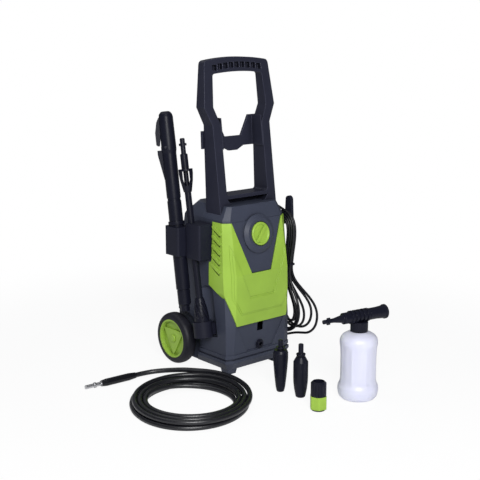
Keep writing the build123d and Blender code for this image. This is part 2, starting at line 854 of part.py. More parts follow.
# Base tray: a flared underside, a skirt, a groove and a lip, hollow above its floor
with BuildPart() as base_tray:
    loft(
        [
            body_plan(BODY_LEVELS[0], -BASE_TUCK, BASE_BOTTOM),
            body_plan(BODY_LEVELS[0], SKIRT_PROUD, SKIRT_Z),
        ],
        ruled=True,
    )
    bands = (
        (SKIRT_Z, GROOVE_Z, SKIRT_PROUD),
        (GROOVE_Z, GROOVE_Z + GROOVE_HEIGHT, -LIP_PROUD),
        (GROOVE_Z + GROOVE_HEIGHT, BODY_BOTTOM, LIP_PROUD),
    )
    for low, high, grow in bands:
        extrude(body_plan(BODY_LEVELS[0], grow, low), amount=high - low)
    tray_room = body_plan(BODY_LEVELS[0], -BASE_TUCK - WALL, BASE_BOTTOM + BASE_FLOOR)
    extrude(tray_room, amount=BODY_BOTTOM, mode=Mode.SUBTRACT)
    wheel_wells(WELL_ROOM, WELL_X)
    for side in (-1, 1):
        ear = side * AXLE_EAR_X
        box_between(
            (ear - AXLE_EAR_THICK / 2, WHEEL_Y - AXLE_EAR_WIDTH / 2, BASE_BOTTOM + 1),
            (ear + AXLE_EAR_THICK / 2, WHEEL_Y + AXLE_EAR_WIDTH / 2, WHEEL_R + AXLE_EAR_WIDTH / 2),
        )
    bar_across(AXLE_R + RUN_GAP, HALF_WIDTH, WHEEL_Y, WHEEL_R, Mode.SUBTRACT)
    pillar_height = PUMP_HEAD_LOW - BASE_BOTTOM - BASE_FLOOR
    with Locations((0, PUMP_Y, BASE_BOTTOM + BASE_FLOOR + pillar_height / 2)):
        with GridLocations(2 * PILLAR_X, 2 * PILLAR_Y, 2, 2):
            Cylinder(PILLAR_R, pillar_height)
finish(base_tray, "base_tray")

# Front feet
with BuildPart() as front_feet:
    for side in (-1, 1):
        soles = []
        for height, size in ((0, FOOT_SIZE - FOOT_TAPER), (BASE_BOTTOM, FOOT_SIZE)):
            with BuildSketch(Plane.XY.offset(height)) as sole:
                with Locations((side * FOOT_X, FOOT_Y)):
                    RectangleRounded(size, size, FOOT_TAPER)
            soles.append(sole.sketch)
        loft(soles, ruled=True)
finish(front_feet, "front_feet")

# Cable hook: a round arm out of the right flank with an upright paddle at its end
with BuildPart() as cable_hook:
    with Locations(Location(((CROWN_HALF + PADDLE_X) / 2, HOOK_Y, HOOK_ARM_Z), (0, 90, 0))):
        Cylinder(HOOK_ARM_R, PADDLE_X - CROWN_HALF)
    add(body_form.part, mode=Mode.SUBTRACT)
    with BuildSketch(Plane.YZ.offset(PADDLE_X)):
        with BuildLine():
            Polyline(
                (HOOK_Y - PADDLE_TOP_HALF, PADDLE_TOP_Z - PADDLE_TOP_HALF),
                (HOOK_Y - PADDLE_LOW_HALF, HOOK_ARM_Z - HOOK_ARM_R),
                (HOOK_Y + PADDLE_LOW_HALF, HOOK_ARM_Z - HOOK_ARM_R),
                (HOOK_Y + PADDLE_TOP_HALF, PADDLE_TOP_Z - PADDLE_TOP_HALF),
            )
            ThreePointArc(
                (HOOK_Y + PADDLE_TOP_HALF, PADDLE_TOP_Z - PADDLE_TOP_HALF),
                (HOOK_Y, PADDLE_TOP_Z),
                (HOOK_Y - PADDLE_TOP_HALF, PADDLE_TOP_Z - PADDLE_TOP_HALF),
            )
        make_face()
    extrude(amount=PADDLE_THICK)
finish(cable_hook, "cable_hook")

# Green front cover: a skin over the body's front and flanks, with a V cut out at the top
SKIN_REACH = 2 * HALF_WIDTH
VEE_SLOPE = VEE_RUN / (SHOULDER_Z - VEE_LOW_Z)
COVER_SIDE = HALF_WIDTH + SKIRT_PROUD + WALL
COVER_OUTLINE = both_sides(
    (
        (COVER_LOW_HALF, COVER_LOW_Z),
        (WAIST_HALF, COVER_KNEE_Z),
        (COVER_SIDE, COVER_TIP_Z),
        (COVER_SIDE, COVER_TOP_Z),
        (VEE_LOW_HALF + VEE_SLOPE * (COVER_TOP_Z - VEE_LOW_Z), COVER_TOP_Z),
        (VEE_LOW_HALF, VEE_LOW_Z),
    )
)
RAISED_OUTLINE = both_sides(
    (
        (COVER_LOW_HALF - RAISED_LOW_IN, COVER_LOW_Z + RAISED_RISE),
        (HALF_WIDTH - RAISED_SIDE_IN, COVER_KNEE_Z),
        (HALF_WIDTH - RAISED_SIDE_IN, RAISED_TOP_Z),
        (VEE_LOW_HALF + RAISED_VEE_OUT, VEE_LOW_Z - RAISED_VEE_DROP),
    )
)

with BuildPart() as cover_skin:
    add(body_block(COVER_PROUD))
    with BuildSketch(Plane.XZ):
        Polygon(*COVER_OUTLINE, align=None)
    extrude(amount=SKIN_REACH, both=True, mode=Mode.INTERSECT)
    with BuildSketch(Plane.YZ):
        Polygon(
            (-SKIN_REACH, BODY_BOTTOM),
            (COVER_PROUD - FRONT_BELLY, COVER_LOW_Z),
            (-FRONT_SHOULDER, COVER_KNEE_Z),
            (-COVER_REAR, COVER_TIP_Z),
            (-COVER_REAR, COVER_NOTCH_Z - WALL),
            (-COVER_NOTCH, COVER_NOTCH_Z),
            (-COVER_NOTCH, COVER_TOP_Z),
            (-SKIN_REACH, COVER_TOP_Z),
            align=None,
        )
    extrude(amount=SKIN_REACH, both=True, mode=Mode.INTERSECT)



def raised_field(proud, inset):
    """The field on the cover's front that stands proud of it, drawn in by an inset."""
    with BuildPart() as field:
        add(body_block(COVER_PROUD + proud))
        with BuildSketch(Plane.XZ.offset(FRONT_SHOULDER)):
            Polygon(*RAISED_OUTLINE, align=None)
            if inset:
                offset(amount=-inset, kind=Kind.INTERSECTION)
        extrude(amount=SKIN_REACH, mode=Mode.INTERSECT)
    return field.part


def louvre_slots(length, width, drop):
    """A slanting slot for each louvre on the flanks, set down by a drop."""
    with BuildSketch(Plane.YZ) as slots:
        for index in range(LOUVRE_COUNT):
            with Locations(Location((LOUVRE_Y, LOUVRE_TOP_Z - index * LOUVRE_PITCH - drop), LOUVRE_SLANT)):
                SlotOverall(length, width)
    return slots.sketch


with BuildPart() as louvre_hoods:
    extrude(louvre_slots(LOUVRE_LENGTH, LOUVRE_HOOD, 0.0), amount=SKIN_REACH, both=True)
    add(body_block(COVER_PROUD + LOUVRE_PROUD), mode=Mode.INTERSECT)

with BuildPart() as front_cover:
    add(cover_skin.part)
    add(louvre_hoods.part)
    add(raised_field(RAISED_PROUD / 2, 0.0))
    add(raised_field(RAISED_PROUD, RAISED_STEP))
    add(body_block(SEAT_GAP), mode=Mode.SUBTRACT)
    gill_slots = louvre_slots(LOUVRE_LENGTH - LOUVRE_HOOD, LOUVRE_SLOT, LOUVRE_HOOD)
    extrude(gill_slots, amount=SKIN_REACH, both=True, mode=Mode.SUBTRACT)
    with Locations(Location((HALF_WIDTH, HOOK_Y, HOOK_ARM_Z), (0, 90, 0))):
        Cylinder(HOOK_ARM_R + FREE_GAP, HALF_WIDTH, mode=Mode.SUBTRACT)
finish(front_cover, "front_cover")

# Control panel inside the V, with the knob's conical bezel
with BuildPart() as control_panel:
    add(body_block(PANEL_PROUD))
    panel_low = VEE_LOW_HALF - PANEL_GAP * math.hypot(1, VEE_SLOPE)
    panel_low_z = VEE_LOW_Z + PANEL_GAP
    panel_top = panel_low + VEE_SLOPE * (COVER_TOP_Z - panel_low_z)
    with BuildSketch(Plane.XZ):
        Polygon(
            (-panel_low, panel_low_z),
            (panel_low, panel_low_z),
            (panel_top, COVER_TOP_Z),
            (-panel_top, COVER_TOP_Z),
            align=None,
        )
    extrude(amount=SKIN_REACH, mode=Mode.INTERSECT)
    turn(
        KNOB_FRAME,
        (0, 0),
        (BEZEL_R, 0),
        (BEZEL_R, PANEL_PROUD + BEZEL_HEIGHT / 3),
        (BEZEL_TOP_R, BEZEL_HEIGHT),
        (KNOB_R + KNOB_ROOM, BEZEL_HEIGHT),
        (KNOB_R + KNOB_ROOM, PANEL_PROUD),
        (0, PANEL_PROUD),
    )
    add(body_block(SEAT_GAP), mode=Mode.SUBTRACT)
    turn(
        KNOB_FRAME,
        (0, -WALL),
        (SPINDLE_R + FREE_GAP, -WALL),
        (SPINDLE_R + FREE_GAP, BEZEL_HEIGHT),
        (0, BEZEL_HEIGHT),
        mode=Mode.SUBTRACT,
    )
finish(control_panel, "control_panel")

# Power knob with its grip ridge and spindle
KNOB_BASE = PANEL_PROUD + FREE_GAP
with BuildPart() as power_knob:
    turn(
        KNOB_FRAME,
        (0, -SWITCH_DEPTH / 2),
        (SPINDLE_R, -SWITCH_DEPTH / 2),
        (SPINDLE_R, KNOB_BASE),
        (KNOB_R, KNOB_BASE),
        (KNOB_R, KNOB_HEIGHT - KNOB_RIDGE_HEIGHT),
        (KNOB_R - KNOB_EASE, KNOB_HEIGHT - KNOB_EASE),
        (KNOB_R - KNOB_EASE - KNOB_RIM, KNOB_HEIGHT - KNOB_EASE),
        (KNOB_R - 2 * KNOB_EASE - KNOB_RIM, KNOB_HEIGHT - KNOB_RIDGE_HEIGHT),
        (0, KNOB_HEIGHT - KNOB_RIDGE_HEIGHT),
    )
    with BuildSketch(KNOB_FRAME.offset(KNOB_HEIGHT - 2 * KNOB_RIDGE_HEIGHT)):
        with Locations(Location((0, 0), KNOB_RIDGE_TURN)):
            SlotOverall(2 * (KNOB_R - 2 * KNOB_EASE), KNOB_RIDGE)
    extrude(amount=2 * KNOB_RIDGE_HEIGHT)
    with BuildSketch(KNOB_FRAME.offset(KNOB_BASE)):
        with Locations((KNOB_R, KNOB_MARK_UP)):
            Circle(KNOB_MARK_R)
    extrude(amount=KNOB_HEIGHT, mode=Mode.SUBTRACT)
finish(power_knob, "power_knob")

# Rotary switch behind the panel, held by the housing
with BuildPart() as rotary_switch:
    with BuildSketch(KNOB_FRAME.offset(-WALL - SEAT_GAP)):
        RectangleRounded(SWITCH_SIZE + 8, SWITCH_SIZE + 8, 5)
    extrude(amount=-SWITCH_DEPTH)
    turn(
        KNOB_FRAME,
        (0, -SWITCH_DEPTH / 2 - RUN_GAP),
        (SPINDLE_R + RUN_GAP, -SWITCH_DEPTH / 2 - RUN_GAP),
        (SPINDLE_R + RUN_GAP, 0),
        (0, 0),
        mode=Mode.SUBTRACT,
    )
finish(rotary_switch, "rotary_switch")

# High-pressure outlet: a flanged socket with a bore for the hose end
OUTLET_FACE = -front_at(OUTLET_Z) + RECESS_DEPTH
OUTLET = Plane(origin=(0, OUTLET_FACE, OUTLET_Z), x_dir=(1, 0, 0), z_dir=(0, -1, 0))
OUTLET_BACK = -3 * WALL
with BuildPart() as outlet_socket:
    turn(
        OUTLET,
        (PIPE_BORE, OUTLET_BACK),
        (OUTLET_R - SEAT_GAP, OUTLET_BACK),
        (OUTLET_R - SEAT_GAP, OUTLET_STAND),
        (OUTLET_FLANGE_R, OUTLET_STAND),
        (OUTLET_FLANGE_R, OUTLET_FLANGE),
        (OUTLET_R, OUTLET_FLANGE),
        (OUTLET_R - 1, OUTLET_PROUD),
        (OUTLET_BORE_R, OUTLET_PROUD),
        (OUTLET_BORE_R, OUTLET_PROUD - OUTLET_BORE_DEPTH + 4),
        (PIPE_BORE, OUTLET_PROUD - OUTLET_BORE_DEPTH + 4),
    )
finish(outlet_socket, "outlet_socket")

# Water inlet: a flanged, threaded spout at the back
INLET = Plane(origin=(0, rear_at(INLET_Z), INLET_Z), x_dir=(1, 0, 0), z_dir=(0, 1, 0))
INLET_BACK = -3 * WALL
with BuildPart() as inlet_spout:
    turn(
        INLET,
        (INLET_BORE_R, INLET_BACK),
        (INLET_THREAD_R - SEAT_GAP, INLET_BACK),
        (INLET_THREAD_R - SEAT_GAP, 0),
        (INLET_FLANGE_R, 0),
        (INLET_FLANGE_R, INLET_FLANGE),
        (INLET_THREAD_R, INLET_FLANGE),
        (INLET_THREAD_R, INLET_FLANGE + INLET_THREAD),
        (INLET_BORE_R, INLET_FLANGE + INLET_THREAD),
    )
finish(inlet_spout, "inlet_spout")

# Axle, wheels and caps
HUB_BORE = AXLE_R + RUN_GAP
HUB_R = RIM_R - RUN_GAP
HUB_FACE = TYRE_WIDTH - HUB_DISH
AXLE_END = HUB_FACE + AXLE_PROUD
with BuildPart() as axle:
    bar_across(AXLE_R, TYRE_IN_X + AXLE_END, WHEEL_Y, WHEEL_R)
finish(axle, "axle")

for name, side in (("left", -1), ("right", 1)):
    WHEEL = Plane(origin=(side * TYRE_IN_X, WHEEL_Y, WHEEL_R), x_dir=(0, 0, 1), z_dir=(side, 0, 0))
    with BuildPart() as tyre:
        turn(
            WHEEL,
            (RIM_R, 0),
            (WHEEL_R - TYRE_CROWN, 0),
            (WHEEL_R, TYRE_CROWN),
            (WHEEL_R, TYRE_WIDTH - TYRE_CROWN),
            (WHEEL_R - TYRE_CROWN, TYRE_WIDTH),
            (RIM_R, TYRE_WIDTH),
        )
    finish(tyre, f"tyre_{name}")
    with BuildPart() as hub:
        turn(
            WHEEL,
            (HUB_BORE, HUB_INSET),
            (HUB_BOSS_R, HUB_INSET),
            (HUB_BOSS_R, HUB_FACE - HUB_WEB),
            (HUB_R - HUB_RIM, HUB_FACE - HUB_WEB),
            (HUB_R - HUB_RIM, HUB_INSET),
            (HUB_R, HUB_INSET),
            (HUB_R, TYRE_WIDTH - HUB_LIP),
            (HUB_FACE_R + HUB_LIP, TYRE_WIDTH - HUB_LIP),
            (HUB_FACE_R, HUB_FACE),
            (HUB_BORE, HUB_FACE),
        )
        with BuildSketch(WHEEL.offset(HUB_FACE)):
            Circle(HUB_FACE_R - HUB_LIP)
            RegularPolygon(HUB_CHORD, 3, major_radius=False, rotation=HUB_CHORD_TURN, mode=Mode.SUBTRACT)
        extrude(amount=-HUB_STEP, mode=Mode.SUBTRACT)
    finish(hub, f"hub_{name}")

with BuildPart() as axle_caps:
    for side in (-1, 1):
        WHEEL = Plane(origin=(side * TYRE_IN_X, WHEEL_Y, WHEEL_R), x_dir=(0, 0, 1), z_dir=(side, 0, 0))
        turn(
            WHEEL,
            (AXLE_R, HUB_FACE + FREE_GAP),
            (AXLE_CAP_R, HUB_FACE + FREE_GAP),
            (AXLE_CAP_R, AXLE_END),
            (AXLE_CAP_R - AXLE_CAP_RISE, AXLE_END + AXLE_CAP_RISE),
            (0, AXLE_END + AXLE_CAP_RISE),
            (0, AXLE_END),
            (AXLE_R, AXLE_END),
        )
finish(axle_caps, "axle_caps")

# Housing screws in the back, one per corner of the inlet's plate
with BuildPart() as housing_screws:
    with BuildSketch(Plane.XZ.offset(-REAR_BOTTOM)):
        with Locations((0, INLET_Z)):
            with GridLocations(2 * SCREW_X, INLET_Z / 2, 2, 2):
                Circle(SCREW_HEAD_R)
    extrude(amount=-SCREW_HEAD)
finish(housing_screws, "housing_screws")

# Gun holder on the left flank
with BuildPart() as gun_holder:
    with BuildSketch(Plane.XY.offset(GUN_HOLDER_LOW_Z)):
        with Locations((GUN_X, (GUN_HOLDER_FRONT + GUN_HOLDER_REAR) / 2)):
            RectangleRounded(2 * GUN_HOLDER_HALF, GUN_HOLDER_REAR - GUN_HOLDER_FRONT, HOLDER_ROUND)
    extrude(amount=GUN_HOLDER_TOP_Z - GUN_HOLDER_LOW_Z)
    gun_web_y = (GUN_HOLDER_FRONT + GUN_HOLDER_REAR) / 2
    box_between(
        (GUN_X + GUN_HOLDER_HALF - HOLDER_ROUND, gun_web_y - GUN_WEB_HALF, GUN_HOLDER_LOW_Z + HOLDER_ROUND),
        (-CROWN_HALF, gun_web_y + GUN_WEB_HALF, GUN_HOLDER_TOP_Z - HOLDER_ROUND),
    )
    add(body_block(), mode=Mode.SUBTRACT)
    turn(
        GUN,
        (0, 0),
        (GUN_BARREL_R + FREE_GAP, 0),
        (GUN_BARREL_R + FREE_GAP, GUN_LENGTH),
        (0, GUN_LENGTH),
        mode=Mode.SUBTRACT,
    )
finish(gun_holder, "gun_holder")

# Lance holder with its clip channel, open to the back
with BuildPart() as lance_holder:
    box_between(
        (LANCE_HOLDER_OUT, LANCE_HOLDER_FRONT, LANCE_HOLDER_LOW_Z),
        (-CROWN_HALF, LANCE_HOLDER_REAR, LANCE_HOLDER_TOP_Z),
    )
    outer_edges = lance_holder.edges().filter_by(Axis.Z).sort_by(Axis.X)[:2]
    fillet(outer_edges, HOLDER_ROUND)
    add(body_block(), mode=Mode.SUBTRACT)
    turn(
        LANCE,
        (0, 0),
        (LANCE_TUBE_R + FREE_GAP, 0),
        (LANCE_TUBE_R + FREE_GAP, LANCE_SHAFT_TOP),
        (0, LANCE_SHAFT_TOP),
        mode=Mode.SUBTRACT,
    )
    lance_rise = math.tan(math.radians(LANCE_LEAN))
    with BuildSketch(Plane.YZ.offset(LANCE_X)):
        Polygon(
            (LANCE_LOW_Y, LANCE_LOW_Z),
            (LANCE_LOW_Y + lance_rise * LANCE_SHAFT_TOP, LANCE_LOW_Z + LANCE_SHAFT_TOP),
            (LANCE_SHAFT_TOP, LANCE_LOW_Z + LANCE_SHAFT_TOP),
            (LANCE_SHAFT_TOP, LANCE_LOW_Z),
            align=None,
        )
    extrude(amount=CLIP_MOUTH / 2, both=True, mode=Mode.SUBTRACT)
finish(lance_holder, "lance_holder")

# Lance cup in the flank's niche
CUP_SEAT = -SEAT_GAP
with BuildPart() as lance_cup:
    box_between(
        (LANCE_X + NOZZLE_R, LANCE_LOW_Y - CUP_R / 2, LANCE_LOW_Z),
        (-CROWN_HALF, LANCE_LOW_Y + CUP_R / 2, LANCE_LOW_Z + CUP_HEIGHT - 2 * CUP_WALL),
    )
    add(body_form.part, mode=Mode.SUBTRACT)
    turn(
        LANCE,
        (0, CUP_SEAT - CUP_FLOOR),
        (CUP_R, CUP_SEAT - CUP_FLOOR),
        (CUP_R, CUP_HEIGHT),
        (0, CUP_HEIGHT),
    )
    turn(
        LANCE,
        (0, CUP_SEAT),
        (CUP_R - CUP_WALL, CUP_SEAT),
        (CUP_R - CUP_WALL, CUP_HEIGHT + 1),
        (0, CUP_HEIGHT + 1),
        mode=Mode.SUBTRACT,
    )
finish(lance_cup, "lance_cup")

# Spray gun: barrel, grip, trigger and cross-bolt lock
GRIP_FROM = GUN_LENGTH - GRIP_LENGTH
BAND_LOW = GUN_COLLAR_AT + GUN_BAND_AT
with BuildPart() as gun_barrel:
    turn(
        GUN,
        (0, 0),
        (GUN_STUB_R, 0),
        (GUN_STUB_R, GUN_STUB),
        (GUN_CAP_R - GUN_GROOVE, GUN_STUB),
        (GUN_CAP_R, GUN_STUB + GUN_GROOVE),
        (GUN_CAP_R, GUN_STUB + GUN_CAP),
        (GUN_CAP_R - GUN_BAND_DEEP, GUN_STUB + GUN_CAP),
        (GUN_CAP_R - GUN_BAND_DEEP, GUN_STUB + GUN_CAP + GUN_GROOVE),
        (GUN_BARREL_R, GUN_STUB + GUN_CAP + GUN_GROOVE),
        (GUN_BARREL_R, GUN_COLLAR_AT),
        (GUN_COLLAR_R, GUN_COLLAR_AT),
        (GUN_COLLAR_R, GUN_COLLAR_AT + GUN_COLLAR),
        (GUN_NECK_R, GUN_COLLAR_AT + GUN_COLLAR),
        (GUN_NECK_R, BAND_LOW),
        (GUN_NECK_R - GUN_BAND_DEEP, BAND_LOW),
        (GUN_NECK_R - GUN_BAND_DEEP, BAND_LOW + GUN_BAND),
        (GUN_NECK_R, BAND_LOW + GUN_BAND),
        (GUN_NECK_R, GRIP_FROM - GUN_BAND),
        (GRIP_R, GRIP_FROM),
        (0, GRIP_FROM),
    )
    with BuildSketch(axial(GUN)):
        Polygon(
            (0, GRIP_FROM),
            (GRIP_R + FIN_PROUD, GRIP_FROM),
            (GRIP_R + FIN_PROUD, GRIP_FROM - FIN_THICK),
            (GUN_NECK_R, GRIP_FROM - FIN_LENGTH),
            (0, GRIP_FROM - FIN_LENGTH),
            align=None,
        )
    extrude(amount=FIN_THICK / 2, both=True)
finish(gun_barrel, "gun_barrel")

LOCK_AT = GRIP_FROM + LOCK_UP
TRIGGER_PIVOT_AT = GUN_LENGTH - TRIGGER_DROP
TRIGGER_END = TRIGGER_PIVOT_AT - TRIGGER_LENGTH
TRIGGER_MID = (TRIGGER_PIVOT_AT + TRIGGER_END) / 2
TRIGGER_PIVOT_X = GRIP_TOP_R - TRIGGER_PIN_IN
SLOT_FLOOR = GRIP_R - TRIGGER_SLOT_DEPTH
SLOT_LOW = TRIGGER_END - TRIGGER_SLOT_UNDER
SLOT_TOP = TRIGGER_PIVOT_AT + TRIGGER_SLOT_OVER
with BuildPart() as gun_grip:
    turn(
        GUN,
        (0, GRIP_FROM),
        (GRIP_R, GRIP_FROM),
        (GRIP_R, GRIP_FROM + GRIP_ROUND),
        (GRIP_TOP_R, GUN_LENGTH - GRIP_ROUND),
        (GRIP_TOP_R - GRIP_EASE, GUN_LENGTH - GRIP_ROUND / 2),
        (GRIP_TOP_R - 3 * GRIP_EASE, GUN_LENGTH - GRIP_EASE),
        (GRIP_TOP_R - 5 * GRIP_EASE, GUN_LENGTH),
        (0, GUN_LENGTH),
    )
    with BuildSketch(axial(GUN)):
        Polygon(
            (SLOT_FLOOR, SLOT_LOW),
            (2 * GRIP_R, SLOT_LOW),
            (2 * GRIP_R, SLOT_TOP),
            (SLOT_FLOOR, SLOT_TOP),
            align=None,
        )
    extrude(amount=TRIGGER_WIDTH / 2 + FREE_GAP, both=True, mode=Mode.SUBTRACT)
    with BuildSketch(axial(GUN)):
        with Locations((TRIGGER_PIVOT_X, TRIGGER_PIVOT_AT)):
            Circle(TRIGGER_PIN_R + RUN_GAP)
    extrude(amount=TRIGGER_WIDTH / 2 + WALL, both=True, mode=Mode.SUBTRACT)
    with BuildSketch(axial(GUN)):
        with Locations((GRIP_R / 3, LOCK_AT)):
            Circle(LOCK_R + RUN_GAP)
    extrude(amount=2 * GRIP_R, both=True, mode=Mode.SUBTRACT)
finish(gun_grip, "gun_grip")

with BuildPart() as gun_trigger:
    with BuildSketch(axial(GUN)):
        Polygon(
            (TRIGGER_PIVOT_X - TRIGGER_EAR, TRIGGER_PIVOT_AT + TRIGGER_EAR),
            (TRIGGER_PIVOT_X + TRIGGER_EAR, TRIGGER_PIVOT_AT + TRIGGER_EAR),
            (GRIP_R + TRIGGER_PROUD / 2, TRIGGER_PIVOT_AT - 2 * TRIGGER_EAR),
            (GRIP_R + TRIGGER_PROUD, TRIGGER_MID),
            (GRIP_R + TRIGGER_PROUD, TRIGGER_END + TRIGGER_EAR),
            (GRIP_R + TRIGGER_PROUD - TRIGGER_EAR, TRIGGER_END),
            (GRIP_R + TRIGGER_PROUD / 4, TRIGGER_END),
            (GRIP_R - TRIGGER_PROUD / 3, TRIGGER_MID),
            align=None,
        )
    extrude(amount=TRIGGER_WIDTH / 2, both=True)
    with BuildSketch(axial(GUN)):
        with Locations((TRIGGER_PIVOT_X, TRIGGER_PIVOT_AT)):
            Circle(TRIGGER_PIN_R)
    extrude(amount=TRIGGER_WIDTH / 2 + WALL - SEAT_GAP, both=True)
finish(gun_trigger, "gun_trigger")

with BuildPart() as trigger_lock:
    with BuildSketch(axial(GUN)):
        with Locations((GRIP_R / 3, LOCK_AT)):
            Circle(LOCK_R)
    extrude(amount=GRIP_R + LOCK_PROUD, both=True)
finish(trigger_lock, "trigger_lock")

# Lance: tube, forked collar with its stem, and the turning nozzle
with BuildPart() as lance_tube:
    turn(
        LANCE,
        (0, NOZZLE_LENGTH - TUBE_SOCKET),
        (LANCE_TUBE_R, NOZZLE_LENGTH - TUBE_SOCKET),
        (LANCE_TUBE_R, LANCE_SHAFT_TOP),
        (0, LANCE_SHAFT_TOP),
    )
finish(lance_tube, "lance_tube")

COLLAR_LOW = LANCE_SHAFT_TOP - COLLAR_LAP
COLLAR_TOP = COLLAR_LOW + FORK_LENGTH
STEM_TOP = COLLAR_TOP + STEM_LENGTH
with BuildPart() as lance_collar:
    turn(
        LANCE,
        (0, LANCE_SHAFT_TOP),
        (LANCE_TUBE_R, LANCE_SHAFT_TOP),
        (LANCE_TUBE_R, COLLAR_LOW),
        (LANCE_TUBE_R + STEM_EASE, COLLAR_LOW),
        (FORK_R - STEM_EASE, COLLAR_LOW + FORK_LENGTH / 2),
        (FORK_R, COLLAR_TOP - 2 * FORK_LIP),
        (FORK_R, COLLAR_TOP),
        (0, COLLAR_TOP),
    )
    with BuildSketch(axial(LANCE)):
        Polygon(
            (-FORK_WINDOW / 2, COLLAR_LOW + 2 * FORK_WINDOW_FROM),
            (-FORK_WINDOW / 4, COLLAR_LOW + FORK_WINDOW_FROM),
            (FORK_WINDOW / 4, COLLAR_LOW + FORK_WINDOW_FROM),
            (FORK_WINDOW / 2, COLLAR_LOW + 2 * FORK_WINDOW_FROM),
            (FORK_WINDOW / 2, COLLAR_TOP - FORK_LIP),
            (-FORK_WINDOW / 2, COLLAR_TOP - FORK_LIP),
            align=None,
        )
    extrude(amount=2 * FORK_R, both=True, mode=Mode.SUBTRACT)
    turn(
        LANCE,
        (0, COLLAR_LOW + FORK_LENGTH / 5),
        (STEM_R, COLLAR_LOW + FORK_LENGTH / 5),
        (STEM_R, COLLAR_TOP),
        (STEM_LOW_R, COLLAR_TOP),
        (STEM_LOW_R, COLLAR_TOP + STEM_LOW - STEM_EASE),
        (STEM_R, COLLAR_TOP + STEM_LOW),
        (STEM_R, STEM_TOP - STEM_EASE),
        (STEM_R - STEM_EASE, STEM_TOP),
        (0, STEM_TOP),
    )
    with BuildSketch(LANCE.offset(STEM_TOP - STEM_LOW / 2)):
        SlotOverall(2 * LUG_REACH, STEM_R)
    extrude(amount=STEM_R)
finish(lance_collar, "lance_collar")


def nozzle_egg(inset):
    """The lance nozzle's egg above its straight skirt, drawn in by an inset, as (radius, height) points."""
    shares = ((1.0, 0.4), (0.97, 0.52), (0.89, 0.66), (0.77, 0.8), (0.64, 0.92), (0.54, 1.0))
    return [(NOZZLE_R * wide - inset, NOZZLE_LENGTH * high) for wide, high in shares]


with BuildPart() as nozzle_swirl:
    swirl_mid = (SWIRL_FROM + SWIRL_TO) / 2
    for index in range(SWIRL_COUNT):
        spoke = Location((0, 0, 0), (0, 0, 360 * index / SWIRL_COUNT))
        blade = Location((NOZZLE_R, 0, swirl_mid), (SWIRL_TILT, 0, 0))
        with Locations(LANCE.location * spoke * blade):
            Box(NOZZLE_R, SWIRL_WIDTH, SWIRL_TO - SWIRL_FROM)
    egg = nozzle_egg(SWIRL_DEPTH)
    turn(LANCE, (0, egg[0][1]), *egg, (0, NOZZLE_LENGTH), mode=Mode.SUBTRACT)

with BuildPart() as lance_nozzle:
    turn(
        LANCE,
        (0, WALL),
        (NOZZLE_MOUTH_R, WALL),
        (NOZZLE_MOUTH_R + NOZZLE_EASE, 0),
        (NOZZLE_R - NOZZLE_EASE, 0),
        (NOZZLE_R, NOZZLE_EASE),
        *nozzle_egg(0.0),
        (LANCE_TUBE_R + RUN_GAP, NOZZLE_LENGTH),
        (LANCE_TUBE_R + RUN_GAP, NOZZLE_LENGTH - TUBE_SOCKET - SEAT_GAP),
        (0, NOZZLE_LENGTH - TUBE_SOCKET - SEAT_GAP),
    )
    add(nozzle_swirl.part, mode=Mode.SUBTRACT)
finish(lance_nozzle, "lance_nozzle")

# Pump: head with its two bores, hollow casing, pistons and wobble plate
PUMP_FRONT = PUMP_Y - PUMP_HEAD_DEPTH / 2
PUMP_BACK = PUMP_Y + PUMP_HEAD_DEPTH / 2
with BuildPart() as pump_head:
    box_between(
        (-PUMP_HEAD_X / 2, PUMP_FRONT, PUMP_HEAD_LOW),
        (PUMP_HEAD_X / 2, PUMP_BACK, PUMP_HEAD_TOP),
    )
    chamfer(pump_head.edges().filter_by(Axis.Z), WALL)
    for port_y, port_z, radius in (
        (PUMP_FRONT, OUTLET_Z, PIPE_R + SEAT_GAP),
        (PUMP_BACK, INLET_Z, FEED_R + SEAT_GAP),
    ):
        with Locations(Location((0, port_y, port_z), (90, 0, 0))):
            Cylinder(radius, 2 * PORT_DEPTH, mode=Mode.SUBTRACT)
finish(pump_head, "pump_head")

with BuildPart() as pump_casing:
    turn(
        PUMP,
        (PUMP_CASE_R - PUMP_CASE_WALL, PUMP_HEAD_TOP),
        (PUMP_CASE_R - WALL / 2, PUMP_HEAD_TOP),
        (PUMP_CASE_R, PUMP_HEAD_TOP + 6),
        (PUMP_CASE_R, PUMP_CASE_TOP),
        (PUMP_CASE_R - PUMP_CASE_WALL, PUMP_CASE_TOP),
    )
finish(pump_casing, "pump_casing")

with BuildPart() as pistons:
    with Locations((0, PUMP_Y, PUMP_HEAD_TOP + PISTON_STAND / 2)):
        with PolarLocations(PISTON_RING, PISTON_COUNT):
            Cylinder(PISTON_R, PISTON_STAND)
finish(pistons, "pistons")

PLATE = Plane(
    origin=(0, PUMP_Y, PLATE_Z),
    x_dir=(1, 0, 0),
    z_dir=(0, math.sin(math.radians(PLATE_TILT)), math.cos(math.radians(PLATE_TILT))),
)
with BuildPart() as wobble_plate:
    with BuildSketch(PLATE):
        Circle(PLATE_R)
    extrude(amount=PLATE_THICK / 2, both=True)
    with Locations((0, PUMP_Y, PLATE_Z)):
        Cylinder(SHAFT_R, 4 * PLATE_THICK, mode=Mode.SUBTRACT)
finish(wobble_plate, "wobble_plate")

